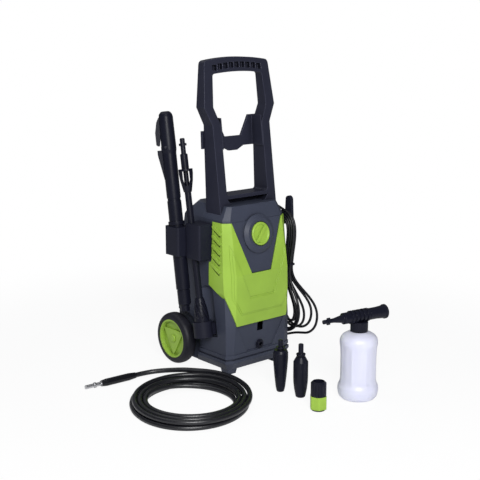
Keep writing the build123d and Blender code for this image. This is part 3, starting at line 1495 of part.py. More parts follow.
# Motor: casing with two bearing seats, stator, shaft, rotor core, bearings and cooling fan
SEAT_R = BEARING_R + SEAT_GAP
with BuildPart() as motor_casing:
    turn(
        PUMP,
        (SEAT_R, MOTOR_LOW),
        (MOTOR_R, MOTOR_LOW),
        (MOTOR_R, MOTOR_TOP),
        (SEAT_R, MOTOR_TOP),
        (SEAT_R, MOTOR_TOP - MOTOR_END),
        (MOTOR_R - MOTOR_WALL, MOTOR_TOP - MOTOR_END),
        (MOTOR_R - MOTOR_WALL, MOTOR_LOW + MOTOR_END),
        (SEAT_R, MOTOR_LOW + MOTOR_END),
    )
finish(motor_casing, "motor_casing")

with BuildPart() as stator:
    turn(
        PUMP,
        (STATOR_BORE, STATOR_LOW),
        (MOTOR_R - MOTOR_WALL, STATOR_LOW),
        (MOTOR_R - MOTOR_WALL, STATOR_TOP),
        (STATOR_BORE, STATOR_TOP),
    )
finish(stator, "stator")

with BuildPart() as motor_shaft:
    turn(PUMP, (0, SHAFT_LOW), (SHAFT_R, SHAFT_LOW), (SHAFT_R, SHAFT_TOP), (0, SHAFT_TOP))
finish(motor_shaft, "motor_shaft")

with BuildPart() as rotor_core:
    turn(
        PUMP,
        (SHAFT_R, STATOR_LOW),
        (STATOR_BORE - CORE_GAP, STATOR_LOW),
        (STATOR_BORE - CORE_GAP, STATOR_TOP),
        (SHAFT_R, STATOR_TOP),
    )
finish(rotor_core, "rotor_core")

with BuildPart() as bearings:
    for low in (MOTOR_LOW, MOTOR_TOP - BEARING_THICK):
        turn(
            PUMP,
            (SHAFT_R + RUN_GAP, low),
            (BEARING_R, low),
            (BEARING_R, low + BEARING_THICK),
            (SHAFT_R + RUN_GAP, low + BEARING_THICK),
        )
finish(bearings, "bearings")

with BuildPart() as cooling_fan:
    turn(
        PUMP,
        (SHAFT_R, FAN_LOW),
        (FAN_R, FAN_LOW),
        (FAN_R, FAN_LOW + FAN_BLADE_THICK),
        (FAN_HUB_R, FAN_LOW + FAN_BLADE_THICK),
        (FAN_HUB_R, FAN_LOW + FAN_HEIGHT),
        (SHAFT_R, FAN_LOW + FAN_HEIGHT),
    )
    with Locations((0, PUMP_Y, FAN_LOW + FAN_HEIGHT / 2)):
        with PolarLocations((FAN_R + FAN_HUB_R) / 2 - 2, FAN_BLADES):
            Box(FAN_R - FAN_HUB_R, FAN_BLADE_THICK, FAN_HEIGHT)
finish(cooling_fan, "cooling_fan")

# Pipes between the pump head and the two ports
with BuildPart() as outlet_pipe:
    pipe_from = OUTLET_FACE - OUTLET_BACK
    pipe_to = PUMP_FRONT + PORT_DEPTH
    with Locations(Location((0, (pipe_from + pipe_to) / 2, OUTLET_Z), (90, 0, 0))):
        Cylinder(PIPE_R, pipe_to - pipe_from)
        Cylinder(PIPE_BORE, pipe_to - pipe_from, mode=Mode.SUBTRACT)
finish(outlet_pipe, "outlet_pipe")

with BuildPart() as inlet_pipe:
    feed_from = PUMP_BACK - PORT_DEPTH
    feed_to = rear_at(INLET_Z) + INLET_BACK
    with Locations(Location((0, (feed_from + feed_to) / 2, INLET_Z), (90, 0, 0))):
        Cylinder(FEED_R, feed_to - feed_from)
        Cylinder(FEED_BORE, feed_to - feed_from, mode=Mode.SUBTRACT)
finish(inlet_pipe, "inlet_pipe")

with BuildPart() as stop_switch:
    box_between(
        (PUMP_HEAD_X / 2, PUMP_Y - STOP_SWITCH_Y / 2, PUMP_HEAD_TOP - STOP_SWITCH_Z),
        (PUMP_HEAD_X / 2 + STOP_SWITCH_X, PUMP_Y + STOP_SWITCH_Y / 2, PUMP_HEAD_TOP),
    )
    chamfer(stop_switch.edges().filter_by(Axis.X), 2)
finish(stop_switch, "stop_switch")

# Cable gland on the right flank
GLAND_FACE = WAIST_HALF - (WAIST_HALF - SHOULDER_HALF) * (GLAND_Z - WAIST_Z) / (SHOULDER_Z - WAIST_Z)
GLAND = Plane(origin=(GLAND_FACE, GLAND_Y, GLAND_Z), x_dir=(0, 1, 0), z_dir=(1, 0, 0))
with BuildPart() as cable_gland:
    turn(
        GLAND,
        (0, -WALL),
        (GLAND_R, -WALL),
        (GLAND_R, WALL),
        (GLAND_TIP_R, GLAND_LENGTH),
        (0, GLAND_LENGTH),
    )
    add(body_block(), mode=Mode.SUBTRACT)
    turn(
        GLAND,
        (0, -3 * WALL),
        (GLAND_TIP_R - SEAT_GAP, -3 * WALL),
        (GLAND_TIP_R - SEAT_GAP, WALL),
        (0, WALL),
    )
finish(cable_gland, "cable_gland")


def arc_pair(start, start_way, end, end_way):
    """Two arcs that leave one point along a way and reach the next along another, as (end, way) steps."""
    chord = end - start
    both = start_way + end_way
    bend = 2 * (1 - start_way.dot(end_way))
    lead = chord.dot(both)
    reach = chord.dot(chord) / (2 * lead)
    if bend > 1e-6:
        reach = (math.sqrt(lead**2 + bend * chord.dot(chord)) - lead) / bend
    first = start + start_way * reach
    second = end - end_way * reach
    return ((first + second) * 0.5, start_way), (end, (second - first).normalized())


def way_at(place, turn_at):
    """The direction in which a wound curve runs on after a number of turns."""
    step = 1e-4
    return (place(turn_at + step) - place(turn_at - step)).normalized()


def wound_path(place, first, last, stations):
    """Join a run of stations on a wound curve with pairs of tangent arcs."""
    turns = [first + (last - first) * index / stations for index in range(stations + 1)]
    points = [place(turn_at) for turn_at in turns]
    ways = [way_at(place, turn_at) for turn_at in turns]
    here = points[0]
    for index in range(stations):
        for end, way in arc_pair(points[index], ways[index], points[index + 1], ways[index + 1]):
            chord = end - here
            if chord.normalized().cross(way).length < 1e-5:
                Line(here, end)
            else:
                TangentArc(here, end, tangent=way)
            here = end


def least_gap(place, first, last, diameter, skip):
    """The least clear room between two strands of a wound tube, skipping its own neighbourhood."""
    count = round((last - first) * 72)
    points = [place(first + (last - first) * index / count) for index in range(count + 1)]
    along = [0.0]
    for one, two in zip(points, points[1:]):
        along.append(along[-1] + (two - one).length)
    return min(
        (points[i] - points[j]).length - diameter
        for i in range(count + 1)
        for j in range(i + 1, count + 1)
        if along[j] - along[i] > skip
    )


def smooth(share):
    """A steady rise from 0 to 1 that starts and ends level."""
    share = min(max(share, 0.0), 1.0)
    return share * share * (3 - 2 * share)


def cord_tube(path, at, along, diameter):
    """Sweep a round section along a path that starts at a point and leaves it in a direction."""
    with BuildSketch(Plane(origin=at, z_dir=along)) as section:
        Circle(diameter / 2)
    sweep(section.sketch, path=path)


def bend_radii(points):
    """The radius of each bend of a cord drawn through a list of points."""
    radii = []
    for before, at, after in zip(points, points[1:], points[2:]):
        coming = Vector(*at) - Vector(*before)
        going = Vector(*after) - Vector(*at)
        half_turn = math.radians(coming.get_angle(going)) / 2
        radii.append(0.45 * min(coming.length, going.length) / math.tan(half_turn))
    return radii


def report_cord(name, cord, path, diameter):
    """Print a cord's length, its volume and the volume that its length and diameter give."""
    length = path.wire().length
    print(name, "length", round(length, 1))
    print(name, "volume", round(cord.part.volume), round(length * math.pi * diameter**2 / 4))


def free_cord(name, points, diameter):
    """A free stretch of cord: straight runs joined by tangent arcs."""
    radii = bend_radii(points)
    print(name, "bend radii", [round(radius, 1) for radius in radii])
    with BuildPart() as cord:
        with BuildLine() as path:
            FilletPolyline(*points, radius=radii)
        cord_tube(path.wire(), points[0], Vector(*points[1]) - Vector(*points[0]), diameter)
    report_cord(name, cord, path, diameter)
    finish(cord, name)


# Mains lead: a hank of long loops over the hook's arm, drawn in at the waist, in two layers
HANK_TOP_Z = HOOK_ARM_Z + HOOK_ARM_R + CORD_D / 2 + SEAT_GAP
HANK_MID_Z = (HANK_TOP_Z + HANK_BOTTOM_Z) / 2
HANK_HALF = (HANK_TOP_Z - HANK_BOTTOM_Z) / 2


def hank_base(phase):
    """The innermost loop of the hank: (forward, height) at a phase that starts at the bottom."""
    lift = (1 - math.cos(phase)) / 2
    end_width = HANK_FOOT_R + (HANK_TOP_R - HANK_FOOT_R) * lift
    width = HANK_WAIST + (end_width - HANK_WAIST) * math.cos(phase) ** 2
    return width * math.sin(phase), HANK_MID_Z - HANK_HALF * math.cos(phase)


def hank_place(turn_at):
    """A point of the hank's middle line after a number of loops, which fan out at the bottom."""
    phase = 2 * math.pi * turn_at
    step = 1e-4
    ahead = hank_base(phase + step)
    behind = hank_base(phase - step)
    rise = ahead[1] - behind[1]
    run = ahead[0] - behind[0]
    size = math.hypot(rise, run)
    low = smooth(math.cos(phase) / HANK_SPREAD)
    out = HANK_STEP * abs(turn_at - HANK_TURN) * (1 + HANK_SLACK * low)
    forward, height = hank_base(phase)
    layer = smooth((turn_at - HANK_TURN + 0.25) / 0.5)
    fan = HANK_FAN * low * (turn_at - HANK_FROM) / (HANK_TO - HANK_FROM)
    return Vector(
        HANK_X + HANK_STEP * layer + fan,
        HOOK_Y + forward + out * rise / size,
        height - out * run / size - HANK_DROOP * layer * low,
    )


with BuildPart() as mains_hank:
    with BuildLine() as hank_path:
        wound_path(hank_place, HANK_FROM, HANK_TO, round((HANK_TO - HANK_FROM) * HANK_STATIONS))
    HANK_START = hank_place(HANK_FROM)
    HANK_END = hank_place(HANK_TO)
    HANK_WAY_IN = way_at(hank_place, HANK_FROM)
    HANK_WAY_OUT = way_at(hank_place, HANK_TO)
    cord_tube(hank_path.wire(), HANK_START, HANK_WAY_IN, CORD_D)
report_cord("mains_hank", mains_hank, hank_path, CORD_D)
print("mains_hank gap", round(least_gap(hank_place, HANK_FROM, HANK_TO, CORD_D, 10 * CORD_D), 2))
finish(mains_hank, "mains_hank")

LEAD_POINTS = (
    (GLAND_FACE + GLAND_LENGTH, GLAND_Y, GLAND_Z),
    (GLAND_FACE + GLAND_LENGTH + 26, GLAND_Y, GLAND_Z),
    (GLAND_FACE + GLAND_LENGTH + 44, GLAND_Y - 22, GLAND_Z + 5),
    (GLAND_FACE + GLAND_LENGTH + 38, GLAND_Y - 56, GLAND_Z + 12),
    (HANK_X + 14, HOOK_Y + 51, HANK_START.Z - 9),
    tuple(HANK_START - HANK_WAY_IN * 26),
    tuple(HANK_START),
)
free_cord("mains_lead", LEAD_POINTS, CORD_D)

TAIL_POINTS = (
    tuple(HANK_END),
    tuple(HANK_END + HANK_WAY_OUT * 26),
    (PLUG_X + 8, HANK_END.Y + 60, PLUG_R + 16),
    (PLUG_X + 2, HANK_END.Y + 92, PLUG_R + 3),
    (PLUG_X, HANK_END.Y + 116, PLUG_R),
    (PLUG_X, PLUG_Y, PLUG_R),
)
free_cord("mains_tail", TAIL_POINTS, CORD_D)

# Cable tie round the waist of the hank
with BuildPart() as cord_tie:
    tie_half = HANK_WAIST + HANK_STEP * (HANK_TURN - HANK_FROM - 0.25) + CORD_D / 2 + 6 * FREE_GAP
    tie_across = HANK_STEP + CORD_D + 4 * FREE_GAP
    tie_x = HANK_X + HANK_STEP / 2
    with BuildSketch(Plane.XY.offset(TIE_Z)):
        with Locations((tie_x, HOOK_Y)):
            RectangleRounded(tie_across + 2 * TIE_THICK, 2 * (tie_half + TIE_THICK), TIE_THICK * 2)
            RectangleRounded(tie_across, 2 * tie_half, TIE_THICK, mode=Mode.SUBTRACT)
    extrude(amount=TIE_HEIGHT)
    box_between(
        (tie_x + tie_across / 2 + TIE_THICK / 2, HOOK_Y + tie_half / 2, TIE_Z),
        (tie_x + tie_across / 2 + TIE_TAIL, HOOK_Y + tie_half / 2 + TIE_THICK, TIE_Z + TIE_HEIGHT),
    )
finish(cord_tie, "cord_tie")

# Plug lying on the floor
PLUG = Plane(origin=(PLUG_X, PLUG_Y, PLUG_R), x_dir=(1, 0, 0), z_dir=(0, 1, 0))
with BuildPart() as plug:
    turn(
        PLUG,
        (0, 0),
        (PLUG_NECK_R - 1, 0),
        (PLUG_NECK_R, PLUG_NECK),
        (PLUG_R - 3, PLUG_NECK + 6),
        (PLUG_R, PLUG_NECK + 14),
        (PLUG_R, PLUG_NECK + PLUG_LENGTH - 14),
        (PLUG_R - 2, PLUG_NECK + PLUG_LENGTH),
        (0, PLUG_NECK + PLUG_LENGTH),
    )
    with BuildSketch(PLUG.offset(PLUG_NECK + PLUG_LENGTH)):
        with GridLocations(PIN_SPREAD, 1, 2, 1):
            Circle(PIN_R)
    extrude(amount=PIN_LENGTH)
finish(plug, "plug")

# High-pressure hose: a coil on the floor, spiralling in on the floor and out again on top
COIL_RIGHT = Vector(1, 0, 0).rotate(Axis.Z, COIL_TURN_DEG)
COIL_AWAY = Vector(0, 1, 0).rotate(Axis.Z, COIL_TURN_DEG)
COIL_MID = Vector(COIL_X, COIL_Y, 0)


def coil_point(across, away, height):
    """A point given across the coil, away along it, and above the floor."""
    return COIL_MID + COIL_RIGHT * across + COIL_AWAY * away + Vector(0, 0, height)


def coil_place(turn_at):
    """A point of the hose's middle line after a number of turns."""
    phase = math.pi / 2 + 2 * math.pi * (turn_at - COIL_TO)
    out = abs(turn_at - COIL_REVERSE)
    layer = HOSE_STEP * smooth((turn_at - COIL_REVERSE + 0.25) / 0.5)
    return coil_point(
        (COIL_ACROSS + COIL_STEP * out) * math.cos(phase),
        (COIL_ALONG + COIL_SPREAD * out) * math.sin(phase) + COIL_DRIFT * out,
        HOSE_D / 2 + layer,
    )


with BuildPart() as hose_coil:
    with BuildLine() as coil_path:
        wound_path(coil_place, 0.0, COIL_TO, round(COIL_TO * COIL_STATIONS))
    coil_start = coil_place(0.0)
    cord_tube(coil_path.wire(), coil_start, way_at(coil_place, 0.0), HOSE_D)
report_cord("hose_coil", hose_coil, coil_path, HOSE_D)
print("hose_coil gap", round(least_gap(coil_place, 0.0, COIL_TO, HOSE_D, 10 * HOSE_D), 2))
finish(hose_coil, "hose_coil")

COIL_WAY = way_at(coil_place, COIL_TO)
COIL_END = coil_place(COIL_TO)
SLEEVE_BEND = Vector(-262, 30, SLEEVE_R)
SLEEVE_FROM = Vector(-298, 32, SLEEVE_R)
HOSE_TAIL_POINTS = (
    tuple(COIL_END),
    tuple(COIL_END + COIL_WAY * 30),
    (-229, 4, 14),
    tuple(SLEEVE_BEND),
    tuple(SLEEVE_FROM),
)
free_cord("hose_tail", HOSE_TAIL_POINTS, HOSE_D)

SLEEVE_WAY = (SLEEVE_FROM - SLEEVE_BEND).normalized()
SLEEVE = Plane(origin=SLEEVE_FROM, x_dir=(0, 0, 1), z_dir=SLEEVE_WAY)
with BuildPart() as hose_end:
    turn(
        SLEEVE,
        (0, 0),
        (SLEEVE_END_R, 0),
        (SLEEVE_R, SLEEVE_LENGTH * 0.2),
        (SLEEVE_R, SLEEVE_LENGTH * 0.85),
        (SLEEVE_END_R, SLEEVE_LENGTH),
        (TIP_R, SLEEVE_LENGTH),
        (TIP_R, SLEEVE_LENGTH + TIP_LENGTH * 0.35),
        (TIP_COLLAR_R, SLEEVE_LENGTH + TIP_LENGTH * 0.35),
        (TIP_COLLAR_R, SLEEVE_LENGTH + TIP_LENGTH * 0.45),
        (TIP_R, SLEEVE_LENGTH + TIP_LENGTH * 0.45),
        (TIP_R, SLEEVE_LENGTH + TIP_LENGTH),
        (0, SLEEVE_LENGTH + TIP_LENGTH),
    )
finish(hose_end, "hose_end")

# The hose's other end: the spigot that plugs into the machine's outlet
SPIGOT_WAY = -way_at(coil_place, 0.0)
SPIGOT = Plane(origin=coil_start, x_dir=(0, 0, 1), z_dir=SPIGOT_WAY)
with BuildPart() as hose_spigot:
    turn(
        SPIGOT,
        (0, 0),
        (HOSE_D / 2 - SEAT_GAP, 0),
        (HOSE_D / 2 - SEAT_GAP, SPIGOT_LENGTH / 2),
        (SPIGOT_R, SPIGOT_LENGTH / 2),
        (SPIGOT_R, SPIGOT_LENGTH),
        (0, SPIGOT_LENGTH),
    )
finish(hose_spigot, "hose_spigot")



def shaped(radius, height, shares):
    """An outline of (radius, height) points given as shares of a radius and a height."""
    return [(radius * wide, height * high) for wide, high in shares]


# Two spray nozzles standing on the floor, each a tapering body under a flanged stem
TURBO_SHAPE = ((0.64, 0.12), (0.8, 0.36), (0.93, 0.62), (1.0, 0.8), (1.0, 0.94), (0.86, 1.0))
FAN_TOOL_SHAPE = ((0.72, 0.07), (0.86, 0.2), (0.97, 0.36), (1.0, 0.5), (1.0, 0.88), (0.62, 1.0))
TURBO_SIZES = (TURBO_LOW_R, TURBO_R, TURBO_HEIGHT, TURBO_STEM)
FAN_TOOL_SIZES = (FAN_TOOL_LOW_R, FAN_TOOL_R, FAN_TOOL_HEIGHT, FAN_TOOL_STEM)
for name, stand, sizes, shape in (
    ("turbo_nozzle", upright(TURBO_X, TURBO_Y), TURBO_SIZES, TURBO_SHAPE),
    ("fan_nozzle", upright(FAN_TOOL_X, FAN_TOOL_Y), FAN_TOOL_SIZES, FAN_TOOL_SHAPE),
):
    low_r, wide_r, height, stem = sizes
    with BuildPart() as tool:
        turn(
            stand,
            (0, 0),
            (low_r - TOOL_EASE, 0),
            (low_r, TOOL_EASE),
            *shaped(wide_r, height, shape),
            (TOOL_NECK_R, height),
            (TOOL_NECK_R, height + TOOL_FLANGE),
            (TOOL_FLANGE_R, height + TOOL_FLANGE),
            (TOOL_FLANGE_R, height + 2 * TOOL_FLANGE),
            (TOOL_STEM_R, height + 2 * TOOL_FLANGE),
            (TOOL_STEM_R, height + stem - TOOL_EASE),
            (TOOL_STEM_R - TOOL_EASE, height + stem),
            (0, height + stem),
        )
    finish(tool, name)

# Tap connector: a body with a bore and a ribbed top, and a sliding six-sided green ring
TAP = upright(TAP_X, TAP_Y)
RING_TOP = TAP_RING_LOW + TAP_RING_HEIGHT
with BuildPart() as tap_body:
    turn(
        TAP,
        (0, 0),
        (TAP_SHANK_R, 0),
        (TAP_SHANK_R, RING_TOP + SEAT_GAP),
        (TAP_R, RING_TOP + SEAT_GAP),
        (TAP_R, TAP_HEIGHT - TAP_EASE),
        (TAP_R - TAP_EASE, TAP_HEIGHT),
        (TAP_BORE_R, TAP_HEIGHT),
        (TAP_BORE_R, TAP_HEIGHT - TAP_BORE_DEPTH),
        (0, TAP_HEIGHT - TAP_BORE_DEPTH),
    )
    with BuildSketch(TAP.offset(RING_TOP + TAP_EASE)):
        with PolarLocations(TAP_R, TAP_RIBS):
            Circle(TAP_RIB_R)
    extrude(amount=TAP_HEIGHT, mode=Mode.SUBTRACT)
finish(tap_body, "tap_body")

with BuildPart() as tap_ring:
    with BuildSketch(TAP.offset(TAP_RING_LOW)):
        RegularPolygon(TAP_RING_FLAT, 6, major_radius=False, rotation=TAP_RING_TURN)
    extrude(amount=TAP_RING_HEIGHT)
    with Locations((TAP_X, TAP_Y, TAP_RING_LOW + TAP_RING_HEIGHT / 2)):
        Cylinder(TAP_RING_R, TAP_RING_HEIGHT, mode=Mode.INTERSECT)
        Cylinder(TAP_SHANK_R + RUN_GAP, TAP_RING_HEIGHT, mode=Mode.SUBTRACT)
finish(tap_ring, "tap_ring")

# Foam bottle with its screw head and turning foam nozzle
BOTTLE = upright(BOTTLE_X, BOTTLE_Y)
BOTTLE_SHAPE = (
    (0.69, 0.0),
    (0.84, 0.018),
    (0.945, 0.06),
    (1.0, 0.133),
    (0.985, 0.193),
    (0.92, 0.253),
    (0.905, 0.36),
    (0.905, 0.6),
    (0.925, 0.78),
    (0.93, 0.85),
    (0.895, 0.9),
    (0.795, 0.94),
    (0.636, 0.97),
    (0.477, 0.99),
)
BOTTLE_TOP = BOTTLE_HEIGHT + CAP_HEIGHT * 0.7
with BuildPart() as foam_bottle:
    outside = shaped(BOTTLE_R, BOTTLE_HEIGHT, BOTTLE_SHAPE)
    outside.append((BOTTLE_NECK_R, BOTTLE_HEIGHT))
    inside = [(r - BOTTLE_WALL, max(z, BOTTLE_WALL)) for r, z in outside]
    turn(
        BOTTLE,
        (0, 0),
        *outside,
        (BOTTLE_NECK_R, BOTTLE_TOP),
        (BOTTLE_NECK_R - BOTTLE_WALL, BOTTLE_TOP),
        *reversed(inside),
        (0, BOTTLE_WALL),
    )
finish(foam_bottle, "foam_bottle")

CAP_LOW = BOTTLE_HEIGHT + FREE_GAP
CAP_TOP = CAP_LOW + CAP_HEIGHT
FOAM_WAY = Vector(1, 0, 0).rotate(Axis.Z, FOAM_TURN_DEG)
FOAM = Plane(origin=(BOTTLE_X, BOTTLE_Y, CAP_TOP + FOAM_AXIS_UP), x_dir=(0, 0, 1), z_dir=FOAM_WAY)
FOAM_RIB_FROM = -FOAM_NOSE * 0.3
with BuildPart() as foam_head:
    turn(
        BOTTLE,
        (0, BOTTLE_TOP),
        (BOTTLE_NECK_R + RUN_GAP, BOTTLE_TOP),
        (BOTTLE_NECK_R + RUN_GAP, CAP_LOW),
        (CAP_R, CAP_LOW),
        (CAP_R, CAP_TOP - 2 * CAP_RIB_R),
        (CAP_R - 2 * CAP_RIB_R, CAP_TOP),
        (0, CAP_TOP),
    )
    with BuildSketch(BOTTLE.offset(CAP_LOW)):
        with PolarLocations(CAP_R, CAP_RIBS):
            Circle(CAP_RIB_R)
    extrude(amount=CAP_HEIGHT, mode=Mode.SUBTRACT)
    turn(
        FOAM,
        (0, -FOAM_NOSE),
        (FOAM_TIP_R, -FOAM_NOSE),
        (FOAM_TIP_R, -FOAM_NOSE * 0.78),
        (FOAM_TIP_R + FREE_GAP, -FOAM_NOSE * 0.72),
        (FOAM_CONE_R, -FOAM_NOSE * 0.48),
        (FOAM_R, -FOAM_NOSE * 0.46),
        (FOAM_R, FOAM_TAIL),
        (FOAM_SPIGOT_R, FOAM_TAIL),
        (FOAM_SPIGOT_R, FOAM_TAIL + FOAM_SPIGOT),
        (0, FOAM_TAIL + FOAM_SPIGOT),
    )
    with BuildSketch(FOAM.offset(-FOAM_NOSE * 0.9)):
        SlotOverall(2 * FOAM_LUG_R, FOAM_TIP_R)
        SlotOverall(2 * FOAM_LUG_R, FOAM_TIP_R, rotation=90)
    extrude(amount=FOAM_LUG)
    rib_pitch = (FOAM_TAIL - FOAM_RIB_FROM) / FOAM_RIBS
    for index in range(FOAM_RIBS):
        rib_at = FOAM_RIB_FROM + rib_pitch * (index + 0.5)
        turn(
            FOAM,
            (FOAM_SPIGOT_R, rib_at - rib_pitch / 4),
            (FOAM_RIB_R, rib_at - rib_pitch / 4),
            (FOAM_RIB_R, rib_at + rib_pitch / 4),
            (FOAM_SPIGOT_R, rib_at + rib_pitch / 4),
        )
finish(foam_head, "foam_head")

with BuildPart() as foam_nozzle:
    turn(
        FOAM,
        (FOAM_SPIGOT_R + RUN_GAP, FOAM_TAIL + FREE_GAP),
        (FOAM_SLEEVE_R, FOAM_TAIL + FREE_GAP),
        (FOAM_SLEEVE_R, FOAM_TAIL + FOAM_SLEEVE * 0.45),
        (FOAM_FLARE_R - FOAM_LIP / 2, FOAM_TAIL + FOAM_SLEEVE * 0.9),
        (FOAM_FLARE_R, FOAM_TAIL + FOAM_SLEEVE * 0.92),
        (FOAM_FLARE_R, FOAM_TAIL + FOAM_SLEEVE),
        (FOAM_FLARE_R - FOAM_LIP, FOAM_TAIL + FOAM_SLEEVE),
        (FOAM_SLEEVE_R - FOAM_LIP, FOAM_TAIL + FOAM_SLEEVE * 0.7),
        (FOAM_SPIGOT_R + RUN_GAP, FOAM_TAIL + FOAM_SLEEVE * 0.55),
    )
finish(foam_nozzle, "foam_nozzle")
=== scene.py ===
"""Looks for an upright pressure washer with its gun, lance, mains lead, hose and floor tools.

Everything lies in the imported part's own frame, in metres: +Z up, the front towards -Y.
"""

import math

import bmesh
import bpy
import numpy as np
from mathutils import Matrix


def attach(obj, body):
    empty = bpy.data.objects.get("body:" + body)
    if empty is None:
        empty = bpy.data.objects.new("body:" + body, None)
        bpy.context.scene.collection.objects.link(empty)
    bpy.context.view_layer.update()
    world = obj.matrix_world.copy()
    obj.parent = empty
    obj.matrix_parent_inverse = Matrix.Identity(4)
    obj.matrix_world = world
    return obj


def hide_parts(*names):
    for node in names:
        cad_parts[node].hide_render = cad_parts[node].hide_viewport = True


bl_info = {
    "name": "Pressure washer looks",
    "version": (1, 0, 0),
    "blender": (4, 5, 0),
    "location": "View3D > Sidebar > Washer",
    "description": "Dresses the packed pressure washer with finishes, cords, tyres and floor tools",
    "category": "Object",
}

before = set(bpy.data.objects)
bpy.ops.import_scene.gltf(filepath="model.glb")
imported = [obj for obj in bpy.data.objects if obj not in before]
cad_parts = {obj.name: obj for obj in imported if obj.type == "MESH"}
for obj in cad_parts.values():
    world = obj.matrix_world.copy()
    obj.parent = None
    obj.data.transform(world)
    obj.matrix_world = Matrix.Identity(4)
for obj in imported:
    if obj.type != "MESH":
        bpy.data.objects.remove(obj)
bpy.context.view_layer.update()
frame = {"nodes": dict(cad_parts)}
NODES = frame["nodes"]


def linear(red, green, blue):
    """A screen colour as the linear light values that shaders take."""
    return tuple(
        value / 12.92 if value <= 0.04045 else ((value + 0.055) / 1.055) ** 2.4
        for value in (red, green, blue)
    )


def colour_property(name, description, shade):
    """A colour that a user can change."""
    return bpy.props.FloatVectorProperty(
        name=name,
        description=description,
        subtype="COLOR",
        size=3,
        min=0.0,
        max=1.0,
        default=linear(*shade),
    )


def length_property(name, description, metres):
    """A length that a user can change."""
    return bpy.props.FloatProperty(
        name=name, description=description, default=metres, subtype="DISTANCE", unit="LENGTH"
    )


class WasherColours(bpy.types.PropertyGroup):
    """The colours of the washer's finishes."""

    cover: colour_property("Cover", "Lime green of the cover, hubs, knob and tap ring", (0.575, 0.71, 0.26))
    body: colour_property("Body", "Blue-grey of the housing and base", (0.215, 0.232, 0.29))
    frame: colour_property("Frame", "Charcoal of the handle and brace", (0.145, 0.15, 0.20))
    holder: colour_property("Holder", "Near black of the holders and hook", (0.105, 0.11, 0.16))
    tools: colour_property("Tools", "Near black of the gun, lance and nozzles", (0.075, 0.08, 0.125))
    cord: colour_property("Cord", "Black of the mains lead and hose", (0.035, 0.037, 0.065))
    tyre: colour_property("Tyre", "Black of the tyres", (0.075, 0.077, 0.11))
    bottle: colour_property("Bottle", "Milky white of the foam bottle", (0.83, 0.835, 0.90))
    steel: colour_property("Steel", "Bright steel of the axle, screws and hose tip", (0.78, 0.78, 0.79))
    brass: colour_property("Brass", "Brass of the water fittings", (0.80, 0.66, 0.36))
    casting: colour_property("Casting", "Die-cast metal of the pump and motor", (0.66, 0.67, 0.69))


class WasherSizes(bpy.types.PropertyGroup):
    """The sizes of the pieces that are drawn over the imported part."""

    mains_thickness: length_property("Mains lead", "Thickness of the mains lead", 0.007)
    hose_thickness: length_property("Hose", "Thickness of the high-pressure hose", 0.0126)
    panel_depth: length_property("Panels", "Depth of the flat panels round the bottle", 0.0016)
    camera_lens: bpy.props.FloatProperty(
        name="Lens", description="Focal length of the camera in millimetres", default=77.4, min=10.0
    )


NORMAL_SAMPLES = 6
EDGE_TURN = (0.01, 0.25)
# Openness range over which the painted shade in hollows fades out.
CREASE_SHADE_OPEN = (0.15, 0.95)


class Wire:
    """One shader value; arithmetic on it adds Math nodes."""

    def __init__(self, paint, socket):
        self.paint = paint
        self.socket = socket

    def maths(self, operation, *values):
        """One Math node."""
        return self.paint.node("ShaderNodeMath", {"operation": operation}, dict(enumerate(values)))

    def __add__(self, other):
        return self.maths("ADD", self, other)

    __radd__ = __add__

    def __sub__(self, other):
        return self.maths("SUBTRACT", self, other)

    def __rsub__(self, other):
        return self.maths("SUBTRACT", other, self)

    def __mul__(self, other):
        return self.maths("MULTIPLY", self, other)

    __rmul__ = __mul__

    def over(self, low, high):
        """How far the value has gone from low to high, kept between 0 and 1."""
        settings = {"clamp": True, "interpolation_type": "SMOOTHSTEP"}
        return self.paint.node("ShaderNodeMapRange", settings, {0: self, 1: low, 2: high, 3: 0.0, 4: 1.0})


